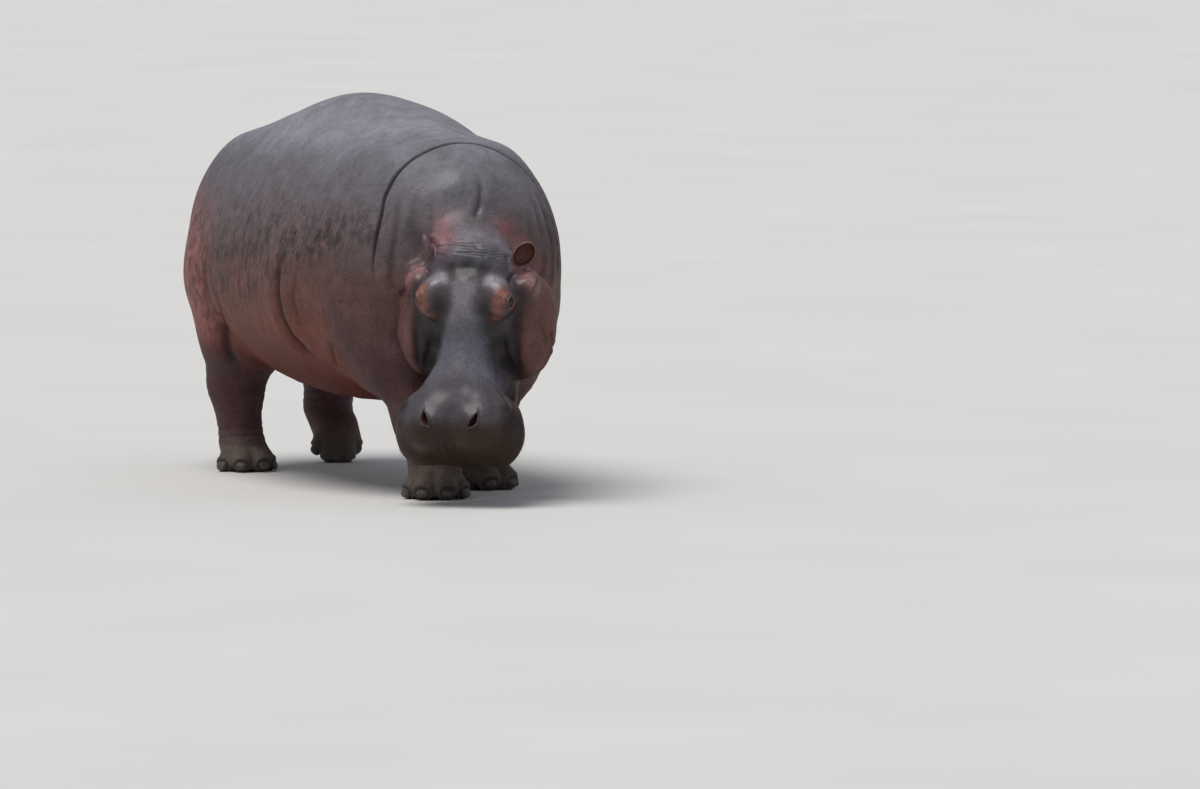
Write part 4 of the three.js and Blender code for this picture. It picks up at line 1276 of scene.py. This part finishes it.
def bristles(name, skin, chance, count, lengths, lean, spread, unwrap, material, seed):
    """Stiff tapering hairs, rooted in the skin where chance is high and leaning along a direction."""
    rng = np.random.default_rng(seed)
    p, n = points_of(skin.data), normals_of(skin.data)
    roots = rng.choice(p.shape[1], count, replace=False, p=chance(p) / chance(p).sum())
    sides, steps, radius = 4, 4, 0.0005
    points, faces, patches = [], [], []
    for i, root in enumerate(roots):
        start, normal = p[:, root] - 0.002 * n[:, root], n[:, root]
        way = normal + lean(start) + spread * rng.normal(size=3)
        way /= np.linalg.norm(way)
        size = rng.uniform(*lengths)
        u = np.cross(way, (0.31, 0.52, 0.79))
        u /= np.linalg.norm(u)
        v = np.cross(way, u)
        for step in range(steps):
            t = step / steps
            middle_of_ring = start + way * size * t + np.array((0, 0, -0.22 * size)) * t * t
            for k in range(sides):
                a = 2 * pi * k / sides
                points.append(middle_of_ring + radius * (1 - 0.75 * t) * (u * cos(a) + v * sin(a)))
                patches.append((k / sides, t))
        points.append(start + way * size + np.array((0, 0, -0.22 * size)))
        patches.append((0.5, 1.0))
        base = i * (sides * steps + 1)
        for step in range(steps - 1):
            for k in range(sides):
                a, b = base + step * sides + k, base + step * sides + (k + 1) % sides
                faces.append((a, b, b + sides, a + sides))
        last = base + (steps - 1) * sides
        faces += [(last + k, last + (k + 1) % sides, base + sides * steps) for k in range(sides)]
        faces.append(tuple(base + k for k in reversed(range(sides))))
    obj = closed_mesh(name, np.array(points).T, faces, material)
    layer = obj.data.uv_layers.new(name="OFBake")
    places = np.repeat(unwrap(p[:, roots]), sides * steps + 1, axis=1) + 0.003 * np.array(patches).T
    corners = np.empty(len(obj.data.loops), np.int32)
    obj.data.loops.foreach_get("vertex_index", corners)
    layer.data.foreach_set("uv", places[:, corners].T.astype(np.float32).ravel())
    return obj


def round_the_muzzle(p):
    """An unwrap of the head's skin: the angle round its long axis, and the distance along it."""
    forward, left, up = HEAD.seen(p)
    return np.array((0.5 + 0.48 * np.arctan2(left, up + 0.2) / pi, np.clip(0.3 + forward, 0.01, 0.99)))


def round_the_tail(p):
    forward, left, up = BODY.seen(p)
    return np.array((0.5 + 0.48 * np.arctan2(left, -1.16 - forward) / pi, np.clip(up - 0.6, 0.01, 0.99)))


def muzzle_chance(p):
    forward, left, up = HEAD.seen(p)
    front = ease(forward, 0.40, 0.54) * ease(up, -0.07, -0.14) * ease(up, -0.42, -0.36) + 1e-9
    return front * (0.25 + ease(np.abs(left), 0.05, 0.2))


def ear_chance(p):
    weight = np.full(p.shape[1], 1e-9)
    for side in SIDES:
        forward, left, up = ear_frame(side).seen(p)
        rho = np.hypot(left / 0.040, (up - EAR_MIDDLE - 0.004) / 0.054)
        weight += bell(rho - 1.0, 0.10) * bell(forward, 0.014) * ease(up, 0.03, 0.06)
    return weight


def tail_chance(p):
    forward, left, up = BODY.seen(p)
    return ease(up, 0.93, 0.80) * ease(forward, -1.08, -1.12) * (np.abs(left) > 0.010) * ease(up, 0.70, 0.73) + 1e-9


# ---- Stage, light and camera ----
def floor():
    g = Graph("pale floor")
    soft = g.noise(0.7, 3)
    g.put(g.shader.inputs["Base Color"], g.mix(colour(0.60, 0.59, 0.575), colour(0.66, 0.65, 0.635), soft))
    g.put(g.shader.inputs["Roughness"], g.span(soft, 0.3, 0.7, 0.80, 0.90))
    reach, sides = 600.0, 96
    rim = np.array([(reach * cos(2 * pi * i / sides), reach * sin(2 * pi * i / sides), 0) for i in range(sides)]).T
    closed_mesh("floor", rim, [tuple(range(sides))], g.material)


def light():
    sun = bpy.data.lights.new("key", "SUN")
    sun.energy = 2.5
    sun.angle = radians(38)
    sun.color = (1.0, 0.975, 0.94)
    lamp = bpy.data.objects.new("key", sun)
    bpy.context.scene.collection.objects.link(lamp)
    lamp.rotation_euler = Vector((0.34, 0.10, -1.0)).to_track_quat("-Z", "Y").to_euler()
    world = bpy.data.worlds.new("studio")
    world.use_nodes = True
    world.node_tree.nodes["Background"].inputs["Color"].default_value = (0.86, 0.92, 1.0, 1)
    world.node_tree.nodes["Background"].inputs["Strength"].default_value = 0.42
    bpy.context.scene.world = world


VIEW_AZIMUTH, VIEW_ELEVATION = -23, 4
VIEW_DISTANCE, VIEW_LENS = 40.0, 305
VIEW_MIDDLE = (0.93, 0.0, 0.31)  # left of, behind and above the stance's middle


def camera():
    az, el = radians(VIEW_AZIMUTH), radians(VIEW_ELEVATION)
    towards = Vector((-sin(az) * cos(el), cos(az) * cos(el), -sin(el)))
    data = bpy.data.cameras.new("camera")
    data.sensor_width = 36
    data.lens = VIEW_LENS
    data.clip_end = 2000
    eye = bpy.data.objects.new("camera", data)
    bpy.context.scene.collection.objects.link(eye)
    eye.location = Vector(BODY.point(-VIEW_MIDDLE[1], VIEW_MIDDLE[0], VIEW_MIDDLE[2])) - towards * VIEW_DISTANCE
    eye.rotation_euler = towards.to_track_quat("-Z", "Y").to_euler()
    bpy.context.scene.camera = eye


# ---- The whole animal ----
def carried(obj, nodes=()):
    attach(obj, "root")
    if nodes:
        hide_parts(*nodes)


camera()
light()
floor()
skin = skin_piece()
skin.data.materials.append(skin_material())
carried(skin, flesh_nodes())
clear, horn, hair = eye_material(), nail_material(), bristle_material()
for side_name, side in (("left", 1), ("right", -1)):
    carried(eyeball(f"eyeball_{side_name}", side, clear), [f"eye_{side_name}"])
for leg_name, leg in LEGS.items():
    shields = nails(f"nails_{leg_name}", leg, horn)
    carried(shields, [f"{leg_name}_nail_{toe + 1}" for toe in range(len(TOES))])
HAIRS = (
    ("bristles_muzzle", muzzle_chance, 150, (0.008, 0.020), lambda q: HEAD.axes @ (0, -0.2, -0.3), 0.35, round_the_muzzle),
    ("bristles_ears", ear_chance, 110, (0.005, 0.012), lambda q: HEAD.axes @ (0, 0, 0.2), 0.35, round_the_muzzle),
    ("bristles_tail", tail_chance, 180, (0.030, 0.055), lambda q: np.array((0, 0, -1.4)), 0.20, round_the_tail),
)
for seed, (name, chance, count, lengths, lean, spread, unwrap) in enumerate(HAIRS):
    carried(bristles(name, skin, chance, count, lengths, lean, spread, unwrap, hair, seed))

bpy.context.scene.view_settings.view_transform = "Standard"
bpy.context.view_layer.update()
